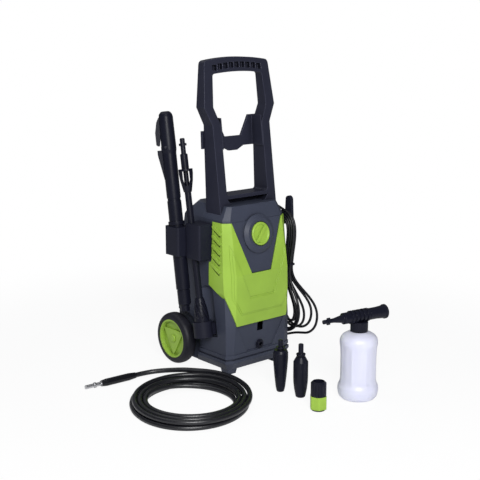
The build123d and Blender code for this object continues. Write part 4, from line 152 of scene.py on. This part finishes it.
class Paint:
    """A material's node tree, with one principled shader."""

    def __init__(self, name):
        self.material = bpy.data.materials.new(name)
        self.material.use_nodes = True
        self.tree = self.material.node_tree
        self.shader = self.tree.nodes["Principled BSDF"]

    def node(self, kind, settings=None, inputs=None, output=0):
        """Add a node, set it, feed its sockets with numbers or wires, and give one of its outputs."""
        made = self.tree.nodes.new(kind)
        for key, value in (settings or {}).items():
            setattr(made, key, value)
        for key, value in (inputs or {}).items():
            self.feed(made.inputs[key], value)
        return Wire(self, made.outputs[output])

    def feed(self, socket, value):
        """Link a wire to a socket, or set the socket to a plain value."""
        if isinstance(value, Wire):
            self.tree.links.new(value.socket, socket)
        else:
            socket.default_value = value

    def set(self, **values):
        """Feed the principled shader; Base_Color stands for Base Color."""
        for key, value in values.items():
            if key == "Base_Color" and not isinstance(value, Wire):
                value = (*value, 1.0)
            self.feed(self.shader.inputs[key.replace("_", " ")], value)

    def place(self):
        """The point on the piece, in metres of the shared frame."""
        return self.node("ShaderNodeTexCoord", output="Object")

    def noise(self, scale, detail=2.0, stretch=(1.0, 1.0, 1.0)):
        """Cloudy noise with a number of features per metre, stretched along the axes."""
        point = self.node("ShaderNodeMapping", None, {0: self.place(), 3: stretch})
        return self.node("ShaderNodeTexNoise", None, {"Vector": point, "Scale": scale, "Detail": detail})

    def mix(self, share, first, second):
        """One colour turning into another."""
        settings = {"data_type": "RGBA", "clamp_factor": True}
        inputs = {"Factor": share}
        made = self.node("ShaderNodeMix", settings, inputs, output=2)
        for socket, value in ((made.socket.node.inputs[6], first), (made.socket.node.inputs[7], second)):
            self.feed(socket, value if isinstance(value, Wire) else (*value, 1.0))
        return made

    def rounded(self, radius):
        """The surface normal with every edge rounded off."""
        return self.node("ShaderNodeBevel", {"samples": NORMAL_SAMPLES}, {"Radius": radius})

    def vector_maths(self, operation, *vectors):
        """One Vector Math node that gives a number."""
        inputs = dict(enumerate(vectors))
        return self.node("ShaderNodeVectorMath", {"operation": operation}, inputs, output="Value")

    def flat(self):
        """The plain surface normal."""
        return self.node("ShaderNodeNewGeometry", output="Normal")

    def edges(self, soft):
        """Where the rounded normal turns away from the flat one: 1 on edges, 0 elsewhere."""
        facing = self.vector_maths("DOT_PRODUCT", soft, self.flat())
        return (1.0 - facing).over(*EDGE_TURN)

    def crease_shade_mask(self, reach, alone):
        """How open a point is within a short reach, which sets the painted shade in hollows: 1 in the open, 0
        far inside a hollow.

        A piece that stands alone heeds only itself, so that its tone doesn't change when it moves.
        """
        settings = {"samples": NORMAL_SAMPLES, "only_local": alone}
        inputs = {"Distance": reach}
        openness = self.node("ShaderNodeAmbientOcclusion", settings, inputs, output="AO")
        return openness.over(*CREASE_SHADE_OPEN)

    def bump(self, height, distance, strength, normal):
        """A bump map over a normal."""
        inputs = {"Height": height, "Distance": distance, "Strength": strength, "Normal": normal}
        return self.node("ShaderNodeBump", None, inputs)


CLOUDS = 14.0
CLOUD_RANGE = (0.3, 0.7)
CLOUD_TONES = (0.95, 1.05)
CLOUD_GLOSS = 0.14
# Share and gloss of the painted highlight along edges.
EDGE_HIGHLIGHT_SHARE = 0.75
EDGE_HIGHLIGHT_GLOSS = 0.08
GRAIN_STRENGTH = 0.5
DUST = 40.0
DUST_RANGE = (0.35, 0.8)
DUST_TONE = 1.35
DUST_GLOSS = 0.2
DIMPLES = 900.0
DIMPLE_STRENGTH = 0.35
METAL_ROUND = 0.0006
METAL_TONES = (0.85, 1.08)
METAL_GLOSS = 0.16
METAL_DEPTH = 0.00005
METAL_STRENGTH = 0.3
FLOW = 26.0
FLOW_STRETCH = (1.0, 1.0, 0.25)
FLOW_RANGE = (0.3, 0.75)
FLOW_TONES = (0.965, 1.02)
FLOW_GLOSS = 0.1
RIPPLES = 120.0
RIPPLE_DEPTH = 0.0002
RIPPLE_STRENGTH = 0.12
MILKY_ROUGHNESS = 0.38
MILKY_WEIGHT = 0.6
MILKY_RADIUS = (0.02, 0.02, 0.022)


def shade(colour, factor):
    """A colour made lighter or darker."""
    return tuple(min(value * factor, 1.0) for value in colour)


def tones(colour, factors):
    """A darker and a lighter tone of a colour."""
    return tuple(shade(colour, factor) for factor in factors)


def moulded(
    name,
    colour,
    roughness,
    grain=1400.0,
    depth=0.00012,
    edge_highlight=1.9,
    radius=0.0012,
    shine=0.3,
    reach=0.012,
    crease_shade=0.35,
    alone=False,
):
    """Moulded plastic: spark-eroded grain, faint cloudiness, painted shade in hollows and painted highlights
    along the edges.
    """
    paint = Paint(name)
    soft = paint.rounded(radius)
    # Mask for the painted highlight along edges.
    edge_highlight_mask = paint.edges(soft)
    cloud = paint.noise(CLOUDS, 3.0)
    speckle = paint.noise(grain, 1.0)
    tone = paint.mix(cloud.over(*CLOUD_RANGE), *tones(colour, CLOUD_TONES))
    # Painted shade: the colour darkens where hollows and nearby parts hide a point.
    crease_shaded_tone = paint.mix(paint.crease_shade_mask(reach, alone), shade(colour, crease_shade), tone)
    paint.set(
        # Painted highlight: edges are paler and a little glossier, standing in for light caught on them.
        Base_Color=paint.mix(edge_highlight_mask * EDGE_HIGHLIGHT_SHARE, crease_shaded_tone, shade(colour, edge_highlight)),
        Roughness=roughness + (cloud - 0.5) * CLOUD_GLOSS - edge_highlight_mask * EDGE_HIGHLIGHT_GLOSS,
        Normal=paint.bump(speckle, depth, GRAIN_STRENGTH, soft),
        Specular_IOR_Level=shine,
    )
    return paint


def rubber(name, colour, roughness, radius=0.001, shine=0.35, dimples=0.00008):
    """Rubber: dusty in clouds, finely dimpled; a radius of 0 leaves the edges as they are."""
    paint = Paint(name)
    soft = paint.rounded(radius) if radius else paint.flat()
    dust = paint.noise(DUST, 4.0)
    dimple = paint.noise(DIMPLES, 1.0)
    paint.set(
        Base_Color=paint.mix(dust.over(*DUST_RANGE), colour, shade(colour, DUST_TONE)),
        Roughness=roughness + (dust - 0.5) * DUST_GLOSS,
        Normal=paint.bump(dimple, dimples, DIMPLE_STRENGTH, soft),
        Specular_IOR_Level=shine,
    )
    return paint


def metal(name, colour, roughness, stretch=(1.0, 1.0, 1.0), grain=500.0):
    """Bare metal: drawn or cast grain in its tone and gloss."""
    paint = Paint(name)
    soft = paint.rounded(METAL_ROUND)
    streak = paint.noise(grain, 3.0, stretch)
    paint.set(
        Base_Color=paint.mix(streak, *tones(colour, METAL_TONES)),
        Metallic=1.0,
        Roughness=roughness + (streak - 0.5) * METAL_GLOSS,
        Normal=paint.bump(streak, METAL_DEPTH, METAL_STRENGTH, soft),
    )
    return paint


def milky(name, colour):
    """Blow-moulded milky plastic: soft inside, satin outside, with faint upright flow marks."""
    paint = Paint(name)
    flow = paint.noise(FLOW, 3.0, FLOW_STRETCH)
    ripple = paint.noise(RIPPLES, 2.0)
    paint.set(
        Base_Color=paint.mix(flow.over(*FLOW_RANGE), *tones(colour, FLOW_TONES)),
        Roughness=MILKY_ROUGHNESS + (flow - 0.5) * FLOW_GLOSS,
        Normal=paint.bump(ripple, RIPPLE_DEPTH, RIPPLE_STRENGTH, paint.flat()),
        Subsurface_Weight=MILKY_WEIGHT,
        Subsurface_Radius=MILKY_RADIUS,
        Subsurface_Scale=1.0,
    )
    return paint


def coat(name, paint):
    """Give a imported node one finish."""
    mesh = NODES[name].data
    mesh.materials.clear()
    mesh.materials.append(paint.material)


SHARP_ANGLE = math.radians(38)


def ring_mesh(name, rings, closed=False):
    """Rings of points, shaped (rings, points, 3), joined by quads; open ends get flat caps."""
    count, size = rings.shape[:2]
    index = np.arange(count * size).reshape(count, size)
    if closed:
        index = np.vstack([index, index[:1]])
    low, high = index[:-1], index[1:]
    quads = np.stack([low, np.roll(low, -1, 1), np.roll(high, -1, 1), high], -1).reshape(-1, 4)
    faces = quads.tolist()
    if not closed:
        faces += [index[0][::-1].tolist(), index[-1].tolist()]
    mesh = bpy.data.meshes.new(name)
    mesh.from_pydata(rings.reshape(-1, 3), [], faces)
    shaped = bmesh.new()
    shaped.from_mesh(mesh)
    bmesh.ops.recalc_face_normals(shaped, faces=shaped.faces)
    shaped.to_mesh(mesh)
    shaped.free()
    mesh.polygons.foreach_set("use_smooth", np.ones(len(mesh.polygons), bool))
    mesh.set_sharp_from_angle(angle=SHARP_ANGLE)
    return mesh


def turned_rings(outline, origin, axis, aside, steps=96, flutes=None):
    """Turn an outline of (radius, height) points about an axis; flutes adds to radii by angle and height."""
    outline = np.asarray(outline, float)
    angle = np.linspace(0.0, 2 * math.pi, steps, endpoint=False)
    axis = np.asarray(axis, float) / np.linalg.norm(axis)
    aside = np.asarray(aside, float) - axis * np.dot(aside, axis)
    aside = aside / np.linalg.norm(aside)
    across = np.cross(axis, aside)
    radius = np.repeat(outline[:, :1], steps, 1)
    if flutes is not None:
        radius = radius + flutes(angle[None, :], outline[:, 1:])
    spoke = np.cos(angle)[:, None] * aside + np.sin(angle)[:, None] * across
    return np.asarray(origin) + radius[..., None] * spoke[None] + outline[:, 1][:, None, None] * axis


def smooth_outline(points, per_span=8):
    """A smooth curve through a list of points: a cubic blend of each four neighbours (Catmull-Rom)."""
    points = np.asarray(points, float)
    padded = np.vstack([2 * points[0] - points[1], points, 2 * points[-1] - points[-2]])
    share = np.linspace(0.0, 1.0, per_span, endpoint=False)[:, None]
    before, start, end, after = padded[:-3], padded[1:-2], padded[2:-1], padded[3:]
    spans = [
        0.5
        * (
            2 * b
            + (c - a) * share
            + (2 * a - 5 * b + 4 * c - d) * share**2
            + (3 * b - a - 3 * c + d) * share**3
        )
        for a, b, c, d in zip(before, start, end, after)
    ]
    return np.vstack([*spans, points[-1:]])


def add_piece(name, mesh, paint, body, slot, *replaced):
    """Put a new piece into the scene on the body that carries it."""
    piece = bpy.data.objects.new(name, mesh)
    bpy.context.scene.collection.objects.link(piece)
    piece.data.materials.append(paint.material)
    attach(piece, body)
    if replaced:
        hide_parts(*replaced)
    return piece


CORD_ROUND = 4
CORD_STEPS = 6


def add_cord(name, points, thickness, paint, slot, *replaced):
    """A cord as one smooth spline with the route's points as its control points."""
    curve = bpy.data.curves.new(name, "CURVE")
    curve.dimensions = "3D"
    curve.bevel_depth = thickness / 2
    curve.bevel_resolution = CORD_ROUND
    curve.use_fill_caps = True
    curve.resolution_u = CORD_STEPS
    spline = curve.splines.new("NURBS")
    spline.points.add(len(points) - 1)
    homogeneous = np.column_stack([points, np.ones(len(points))])
    spline.points.foreach_set("co", homogeneous.ravel())
    spline.order_u = 3
    spline.use_endpoint_u = True
    return add_piece(name, curve, paint, "machine", slot, *replaced)


HOOK_Y = -0.074
HANK_X = 0.126
HANK_STEP = 0.0079
HANK_TOP_Z = 0.3882
HANK_BOTTOM_Z = 0.100
HANK_TOP_R = 0.043
HANK_FOOT_R = 0.075
HANK_WAIST = 0.005
HANK_FROM = 0.5
HANK_TURN = 3.75
HANK_TO = 7.0
HANK_FAN = 0.0645
HANK_FAN_CURVE = 1.4
HANK_SWAY = 0.005
SWAY_RATE = 5.1
SAG_RATE = 3.7
HANK_SPREAD = 0.8
HANK_SLACK = 0.5
HANK_DROOP = 0.008
HANK_POINTS = 32
HANK_WAY = 1e-4
CROSSING = 0.25
GLAND_TIP = (0.12199, 0.060, 0.384)
LEAD_STEPS = ((0.0, 0.0, 0.0), (0.026, 0.0, 0.0), (0.044, -0.022, 0.005), (0.038, -0.056, 0.012))
LEAD_REST = (0.014, 0.051, -0.009)
CORD_LEAVE = 0.026
PLUG_AT = (0.178, 0.066, 0.017)
TAIL_STEPS = ((0.008, 0.060, 0.016), (0.002, 0.092, 0.003), (0.0, 0.116, 0.0))


def smooth_step(share):
    """A steady rise from 0 to 1 that starts and ends level."""
    share = np.clip(share, 0.0, 1.0)
    return share * share * (3 - 2 * share)


def hank_loop(phase):
    """The innermost loop: its width swells at both ends, drawn in at the waist by a squared cosine."""
    lift = (1 - np.cos(phase)) / 2
    end_width = HANK_FOOT_R + (HANK_TOP_R - HANK_FOOT_R) * lift
    width = HANK_WAIST + (end_width - HANK_WAIST) * np.cos(phase) ** 2
    middle = (HANK_TOP_Z + HANK_BOTTOM_Z) / 2
    half = (HANK_TOP_Z - HANK_BOTTOM_Z) / 2
    return np.column_stack([width * np.sin(phase), middle - half * np.cos(phase)])


def hank_points():
    """Loops stepped out from the innermost one along its normal, inwards in one layer and out in the next.

    Below the waist the steps widen and the loops lean out from the machine, each one further than the last
    by a power of its turn, and sway and sag by a sine and a cosine of it.
    """
    turns = np.linspace(HANK_FROM, HANK_TO, round((HANK_TO - HANK_FROM) * HANK_POINTS) + 1)
    phase = 2 * math.pi * turns
    loop = hank_loop(phase)
    way = hank_loop(phase + HANK_WAY) - hank_loop(phase - HANK_WAY)
    way = way / np.linalg.norm(way, axis=1)[:, None]
    low = smooth_step(np.cos(phase) / HANK_SPREAD)
    out = HANK_STEP * np.abs(turns - HANK_TURN) * (1 + HANK_SLACK * low)
    layer = smooth_step((turns - HANK_TURN + CROSSING) / (2 * CROSSING))
    fan = HANK_FAN * low * ((turns - HANK_FROM) / (HANK_TO - HANK_FROM)) ** HANK_FAN_CURVE
    sway = HANK_SWAY * low * np.sin(SWAY_RATE * turns)
    sag = HANK_SWAY * low * np.cos(SAG_RATE * turns)
    return np.column_stack(
        [
            HANK_X + HANK_STEP * layer + fan,
            HOOK_Y + loop[:, 0] + out * way[:, 1] + sway,
            loop[:, 1] - out * way[:, 0] - HANK_DROOP * layer * low - sag,
        ]
    )


def mains_route():
    """The lead out of its gland, the hank over the hook, and the tail down to the plug."""
    hank = hank_points()
    way_in = (hank[1] - hank[0]) / np.linalg.norm(hank[1] - hank[0])
    way_out = (hank[-1] - hank[-2]) / np.linalg.norm(hank[-1] - hank[-2])
    start, end = hank[0], hank[-1]
    lead = [
        *(np.array(GLAND_TIP) + LEAD_STEPS),
        np.array((HANK_X, HOOK_Y, start[2])) + LEAD_REST,
        start - way_in * CORD_LEAVE,
    ]
    beside = np.array((PLUG_AT[0], end[1], PLUG_AT[2]))
    tail = [end + way_out * CORD_LEAVE, *(beside + TAIL_STEPS), PLUG_AT]
    return np.vstack([lead, hank, tail])


COIL_X = -0.311
COIL_Y = -0.217
COIL_TURN = math.radians(-41.0)
COIL_ACROSS = 0.107
COIL_STEP = 0.0139
COIL_ALONG = 0.107
COIL_SPREAD = 0.0257
COIL_DRIFT = 0.007
COIL_REVERSE = 3.0
COIL_TO = 6.0
COIL_POINTS = 24
HOSE_STEP = 0.0132
HOSE_LEAVE = 0.030
HOSE_DROP = (-0.229, 0.004, 0.014)
SLEEVE_BEND = (-0.262, 0.030, 0.0095)
SLEEVE_FROM = (-0.298, 0.032, 0.0095)
SLEEVE_LENGTH = 0.103
TIP_BLUR = 0.0002
TIP_GRAIN = 400.0
TIP_ROUGHNESS = 0.32
TIP_GLOSS = 0.14


def on_coil(across, away, height):
    """Points given across the coil, away along it and above the floor."""
    cosine, sine = math.cos(COIL_TURN), math.sin(COIL_TURN)
    across, away, height = np.broadcast_arrays(across, away, height)
    return np.stack(
        [COIL_X + across * cosine - away * sine, COIL_Y + across * sine + away * cosine, height], -1
    )


def hose_route(thickness):
    """An oval spiral inwards on the floor and outwards on top of itself, then a tail to the sleeve."""
    turns = np.linspace(0.0, COIL_TO, round(COIL_TO * COIL_POINTS) + 1)
    phase = math.pi / 2 + 2 * math.pi * (turns - COIL_TO)
    out = np.abs(turns - COIL_REVERSE)
    layer = HOSE_STEP * smooth_step((turns - COIL_REVERSE + CROSSING) / (2 * CROSSING))
    coil = on_coil(
        (COIL_ACROSS + COIL_STEP * out) * np.cos(phase),
        (COIL_ALONG + COIL_SPREAD * out) * np.sin(phase) + COIL_DRIFT * out,
        thickness / 2 + layer,
    )
    way = (coil[-1] - coil[-2]) / np.linalg.norm(coil[-1] - coil[-2])
    tail = [coil[-1] + way * HOSE_LEAVE, HOSE_DROP, SLEEVE_BEND, SLEEVE_FROM]
    return np.vstack([coil, tail])


class WASHER_OT_finish_machine(bpy.types.Operator):
    """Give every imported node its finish"""

    bl_idname = "washer.finish_machine"
    bl_label = "Finish the machine"

    def execute(self, context):
        colours = context.scene.washer_colours
        # Each finish below has painted highlights on its edges and painted shade in its hollows.
        cover = moulded(
            "Green cover plastic", colours.cover, 0.36, grain=2200.0, depth=0.00005, edge_highlight=1.3, crease_shade=0.45
        )
        body = moulded("Housing plastic", colours.body, 0.5)
        charcoal = moulded(
            "Frame plastic", colours.frame, 0.4, edge_highlight=2.8, radius=0.0028, shine=0.18, reach=0.03
        )
        holder = moulded("Holder plastic", colours.holder, 0.5, shine=0.16, alone=True)
        tools = moulded(
            "Tool plastic", colours.tools, 0.33, depth=0.00006, edge_highlight=2.6, shine=0.16, alone=True
        )
        flex = rubber("Flex rubber", colours.cord, 0.34)
        steel = metal("Turned steel", colours.steel, 0.24)
        brass = metal("Brass", colours.brass, 0.28)
        casting = metal("Die casting", colours.casting, 0.45, grain=260.0)
        finishes = (
            (cover, "front_cover hub_left hub_right power_knob tap_ring axle_caps"),
            (body, "front_housing rear_housing base_tray front_feet control_panel"),
            (charcoal, "handle_frame cross_brace"),
            (holder, "gun_holder lance_holder lance_cup cable_hook"),
            (
                tools,
                "gun_barrel gun_grip gun_trigger trigger_lock lance_tube lance_collar lance_nozzle"
                " turbo_nozzle fan_nozzle tap_body foam_head foam_nozzle"
                " rotary_switch stop_switch cooling_fan cord_tie outlet_socket",
            ),
            (flex, "plug cable_gland inlet_pipe"),
            (
                steel,
                "axle housing_screws motor_shaft rotor_core bearings pistons wobble_plate outlet_pipe stator"
                " hose_spigot",
            ),
            (brass, "inlet_spout"),
            (casting, "motor_casing pump_casing pump_head"),
        )
        for paint, names in finishes:
            for name in names.split():
                coat(name, paint)
        return {"FINISHED"}


WHEEL_R = 0.070
WHEEL_Y = 0.068
TYRE_IN_X = 0.116
TYRE_WIDTH = 0.036
RIM_R = 0.053
TYRE_ROUND = 2.8
TYRE_STEPS = 160
TYRE_RINGS = 41


class WASHER_OT_fit_tyres(bpy.types.Operator):
    """Put the round-shouldered tyres on both hubs"""

    bl_idname = "washer.fit_tyres"
    bl_label = "Fit the tyres"

    def execute(self, context):
        paint = rubber("Tyre rubber", context.scene.washer_colours.tyre, 0.55)
        for side, name in ((-1, "left"), (1, "right")):
            origin = (side * TYRE_IN_X, WHEEL_Y, WHEEL_R)
            rings = turned_rings(self.outline(), origin, (side, 0, 0), (0, 0, 1), steps=TYRE_STEPS)
            mesh = ring_mesh(f"tread_{name}", rings, closed=True)
            add_piece(f"tread_{name}", mesh, paint, f"wheel_{name}", "tyre", f"tyre_{name}")
        return {"FINISHED"}

    def outline(self):
        """Half a superellipse over the rim: powers of a cosine across and of a sine outwards."""
        phase = np.linspace(0.0, math.pi, TYRE_RINGS)
        power = 2 / TYRE_ROUND
        across = TYRE_WIDTH / 2 * (1 - np.sign(np.cos(phase)) * np.abs(np.cos(phase)) ** power)
        return np.column_stack([RIM_R + (WHEEL_R - RIM_R) * np.sin(phase) ** power, across])


class WASHER_OT_lay_mains_lead(bpy.types.Operator):
    """Hang the mains lead over its hook"""

    bl_idname = "washer.lay_mains_lead"
    bl_label = "Lay the mains lead"

    def execute(self, context):
        thickness = context.scene.washer_sizes.mains_thickness
        cord = context.scene.washer_colours.cord
        paint = rubber("Mains lead sheath", cord, 0.42, radius=0.0, shine=0.4, dimples=0.0)
        route = mains_route()
        lead = add_cord(
            "mains_cord", route, thickness, paint, "black_rubber", "mains_lead", "mains_hank", "mains_tail"
        )
        return {"FINISHED"}


class WASHER_OT_lay_hose(bpy.types.Operator):
    """Lay the high-pressure hose in its coil"""

    bl_idname = "washer.lay_hose"
    bl_label = "Lay the hose"

    def execute(self, context):
        thickness = context.scene.washer_sizes.hose_thickness
        colours = context.scene.washer_colours
        paint = rubber("Hose sheath", colours.cord, 0.38, radius=0.0, shine=0.6, dimples=0.0)
        coat("hose_end", self.sleeve_and_tip(colours))
        route = hose_route(thickness)
        hose = add_cord("pressure_hose", route, thickness, paint, "black_rubber", "hose_coil", "hose_tail")
        return {"FINISHED"}

    def sleeve_and_tip(self, colours):
        """Black sleeve rubber that gives way to bright steel past the sleeve's end."""
        paint = rubber("Hose end", colours.cord, 0.3)
        way = np.array(SLEEVE_FROM) - np.array(SLEEVE_BEND)
        way = way / np.linalg.norm(way)
        along = paint.vector_maths("DOT_PRODUCT", paint.place(), way)
        end = float(np.dot(way, SLEEVE_FROM)) + SLEEVE_LENGTH
        bare = (along - end).over(-TIP_BLUR, TIP_BLUR)
        streak = paint.noise(TIP_GRAIN, 3.0)
        paint.set(
            Base_Color=paint.mix(bare, colours.cord, colours.steel),
            Metallic=bare,
            Roughness=TIP_ROUGHNESS + (streak - 0.5) * TIP_GLOSS,
        )
        return paint


BOTTLE_AT = (0.039, -0.441, 0.0)
BOTTLE_R = 0.0503
BOTTLE_HEIGHT = 0.172
BOTTLE_NECK_R = 0.019
BOTTLE_TOP = 0.1895
BOTTLE_PANELS = 8
BOTTLE_STEPS = 192
PANEL_FROM = 0.2
PANEL_TO = 0.84
PANEL_FADE = 0.1
RIDGE_POWER = 12
BOTTLE_SHAPE = (
    (0.69, 0.0),
    (0.84, 0.018),
    (0.945, 0.06),
    (1.0, 0.133),
    (0.985, 0.193),
    (0.92, 0.253),
    (0.905, 0.36),
    (0.905, 0.6),
    (0.925, 0.78),
    (0.93, 0.85),
    (0.895, 0.9),
    (0.795, 0.94),
    (0.636, 0.97),
    (0.477, 0.99),
)


class WASHER_OT_blow_bottle(bpy.types.Operator):
    """Blow the foam bottle"""

    bl_idname = "washer.blow_bottle"
    bl_label = "Blow the bottle"

    def execute(self, context):
        paint = milky("Milky bottle plastic", context.scene.washer_colours.bottle)
        depth = context.scene.washer_sizes.panel_depth
        body = np.array(BOTTLE_SHAPE) * (BOTTLE_R, BOTTLE_HEIGHT)
        neck = [(BOTTLE_NECK_R, BOTTLE_HEIGHT), (BOTTLE_NECK_R, BOTTLE_TOP)]
        outline = np.vstack([smooth_outline(body), neck])

        def panels(angle, height):
            """Shallow panels between narrow ridges, a power of a sine, that fade at the shoulder and foot."""
            ridge = np.abs(np.sin(BOTTLE_PANELS / 2 * angle)) ** RIDGE_POWER
            share = height / BOTTLE_HEIGHT
            above = smooth_step((share - PANEL_FROM) / PANEL_FADE)
            below = smooth_step((PANEL_TO - share) / PANEL_FADE)
            return -depth * (1 - ridge) * above * below

        rings = turned_rings(outline, BOTTLE_AT, (0, 0, 1), (1, 0, 0), steps=BOTTLE_STEPS, flutes=panels)
        add_piece("bottle", ring_mesh("bottle", rings), paint, "machine", "bottle_plastic", "foam_bottle")
        return {"FINISHED"}


CAMERA_AT = (-1.7727, -2.0765, 0.9228)
CAMERA_PITCH = 12.1853
CAMERA_TURN = -41.0635
SENSOR_WIDTH = 36.0
FLOOR_HALF = 12.0
FLOOR_GLOW = 0.9
FLOOR_FADE = (0.55, 1.3)
WHITE = (1.0, 1.0, 1.0, 1.0)
ROOM_COLOUR = (0.93, 0.95, 1.0, 1.0)
ROOM_STRENGTH = 0.18
LAMP_AIM = (0.0, -0.1, 0.35)
LAMPS = (
    ("Front box", (-1.5, -2.2, 1.6), 1.1, 78.0),
    ("Top box", (-0.3, 0.5, 2.5), 2.2, 16.0),
)


class WASHER_OT_set_stage(bpy.types.Operator):
    """Set the floor, the light and the camera"""

    bl_idname = "washer.set_stage"
    bl_label = "Set the stage"

    def execute(self, context):
        scene = context.scene
        scene.view_settings.view_transform = "Standard"
        self.lay_floor(scene)
        self.light(scene)
        camera = bpy.data.objects.new("Camera", bpy.data.cameras.new("Camera"))
        camera.data.lens = scene.washer_sizes.camera_lens
        camera.data.sensor_width = SENSOR_WIDTH
        camera.location = CAMERA_AT
        camera.rotation_euler = (math.radians(90 - CAMERA_PITCH), 0.0, math.radians(CAMERA_TURN))
        scene.collection.objects.link(camera)
        scene.camera = camera
        return {"FINISHED"}

    def lay_floor(self, scene):
        """A pale floor that the camera sees as white, with the part's shadow left on it."""
        half = FLOOR_HALF
        corners = [(-half, -half, 0), (half, -half, 0), (half, half, 0), (-half, half, 0)]
        mesh = bpy.data.meshes.new("floor")
        mesh.from_pydata(corners, [], [(0, 1, 2, 3)])
        floor = bpy.data.objects.new("floor", mesh)
        scene.collection.objects.link(floor)
        paint = Paint("Studio floor")
        paint.set(Base_Color=(0.93, 0.93, 0.94), Roughness=0.9, Specular_IOR_Level=0.0)
        seen = paint.node("ShaderNodeLightPath", output="Is Camera Ray")
        glow = paint.node("ShaderNodeEmission", None, {"Color": WHITE, "Strength": 1.0})
        spot = paint.vector_maths("LENGTH", paint.place())
        share = seen * (FLOOR_GLOW + (1.0 - FLOOR_GLOW) * spot.over(*FLOOR_FADE))
        blend = paint.node(
            "ShaderNodeMixShader", None, {0: share, 1: Wire(paint, paint.shader.outputs[0]), 2: glow}
        )
        output = paint.tree.nodes["Material Output"]
        paint.tree.links.new(blend.socket, output.inputs["Surface"])
        mesh.materials.append(paint.material)

    def light(self, scene):
        """A white studio room with one strong soft box before the part and a wider, weaker one above it."""
        world = bpy.data.worlds.new("Studio")
        world.use_nodes = True
        nodes, links = world.node_tree.nodes, world.node_tree.links
        room = nodes["Background"]
        room.inputs["Color"].default_value = ROOM_COLOUR
        room.inputs["Strength"].default_value = ROOM_STRENGTH
        backdrop = nodes.new("ShaderNodeBackground")
        backdrop.inputs["Color"].default_value = WHITE
        backdrop.inputs["Strength"].default_value = 1.0
        path = nodes.new("ShaderNodeLightPath")
        choose = nodes.new("ShaderNodeMixShader")
        links.new(path.outputs["Is Camera Ray"], choose.inputs[0])
        links.new(room.outputs[0], choose.inputs[1])
        links.new(backdrop.outputs[0], choose.inputs[2])
        links.new(choose.outputs[0], nodes["World Output"].inputs["Surface"])
        scene.world = world
        for name, place, size, power in LAMPS:
            lamp = bpy.data.lights.new(name, "AREA")
            lamp.shape = "SQUARE"
            lamp.size = size
            lamp.energy = power
            holder = bpy.data.objects.new(name, lamp)
            aim = np.array(LAMP_AIM) - np.array(place)
            holder.location = place
            turn = math.atan2(aim[0], -aim[1])
            dip = math.atan2(math.hypot(aim[0], aim[1]), -aim[2])
            holder.rotation_euler = (dip, 0.0, turn + math.pi)
            scene.collection.objects.link(holder)


class WASHER_PT_looks(bpy.types.Panel):
    """Lists the steps that dress the washer"""

    bl_label = "Pressure washer"
    bl_idname = "WASHER_PT_looks"
    bl_space_type = "VIEW_3D"
    bl_region_type = "UI"
    bl_category = "Washer"

    def draw(self, context):
        for step in STEPS:
            self.layout.operator(step.bl_idname)
        for group in (context.scene.washer_colours, context.scene.washer_sizes):
            for name in group.__annotations__:
                self.layout.prop(group, name)


STEPS = (
    WASHER_OT_finish_machine,
    WASHER_OT_fit_tyres,
    WASHER_OT_lay_mains_lead,
    WASHER_OT_lay_hose,
    WASHER_OT_blow_bottle,
    WASHER_OT_set_stage,
)
CLASSES = (WasherColours, WasherSizes, *STEPS, WASHER_PT_looks)


def register():
    """Add the classes and the scene's properties."""
    for cls in CLASSES:
        bpy.utils.register_class(cls)
    bpy.types.Scene.washer_colours = bpy.props.PointerProperty(type=WasherColours)
    bpy.types.Scene.washer_sizes = bpy.props.PointerProperty(type=WasherSizes)


def unregister():
    """Take the classes and the scene's properties away again."""
    del bpy.types.Scene.washer_sizes
    del bpy.types.Scene.washer_colours
    for cls in reversed(CLASSES):
        bpy.utils.unregister_class(cls)


def main():
    """Dress the washer."""
    register()
    bpy.ops.washer.finish_machine()
    bpy.ops.washer.fit_tyres()
    bpy.ops.washer.lay_mains_lead()
    bpy.ops.washer.lay_hose()
    bpy.ops.washer.blow_bottle()
    bpy.ops.washer.set_stage()
    bpy.context.view_layer.update()


if __name__ == "__main__":
    main()
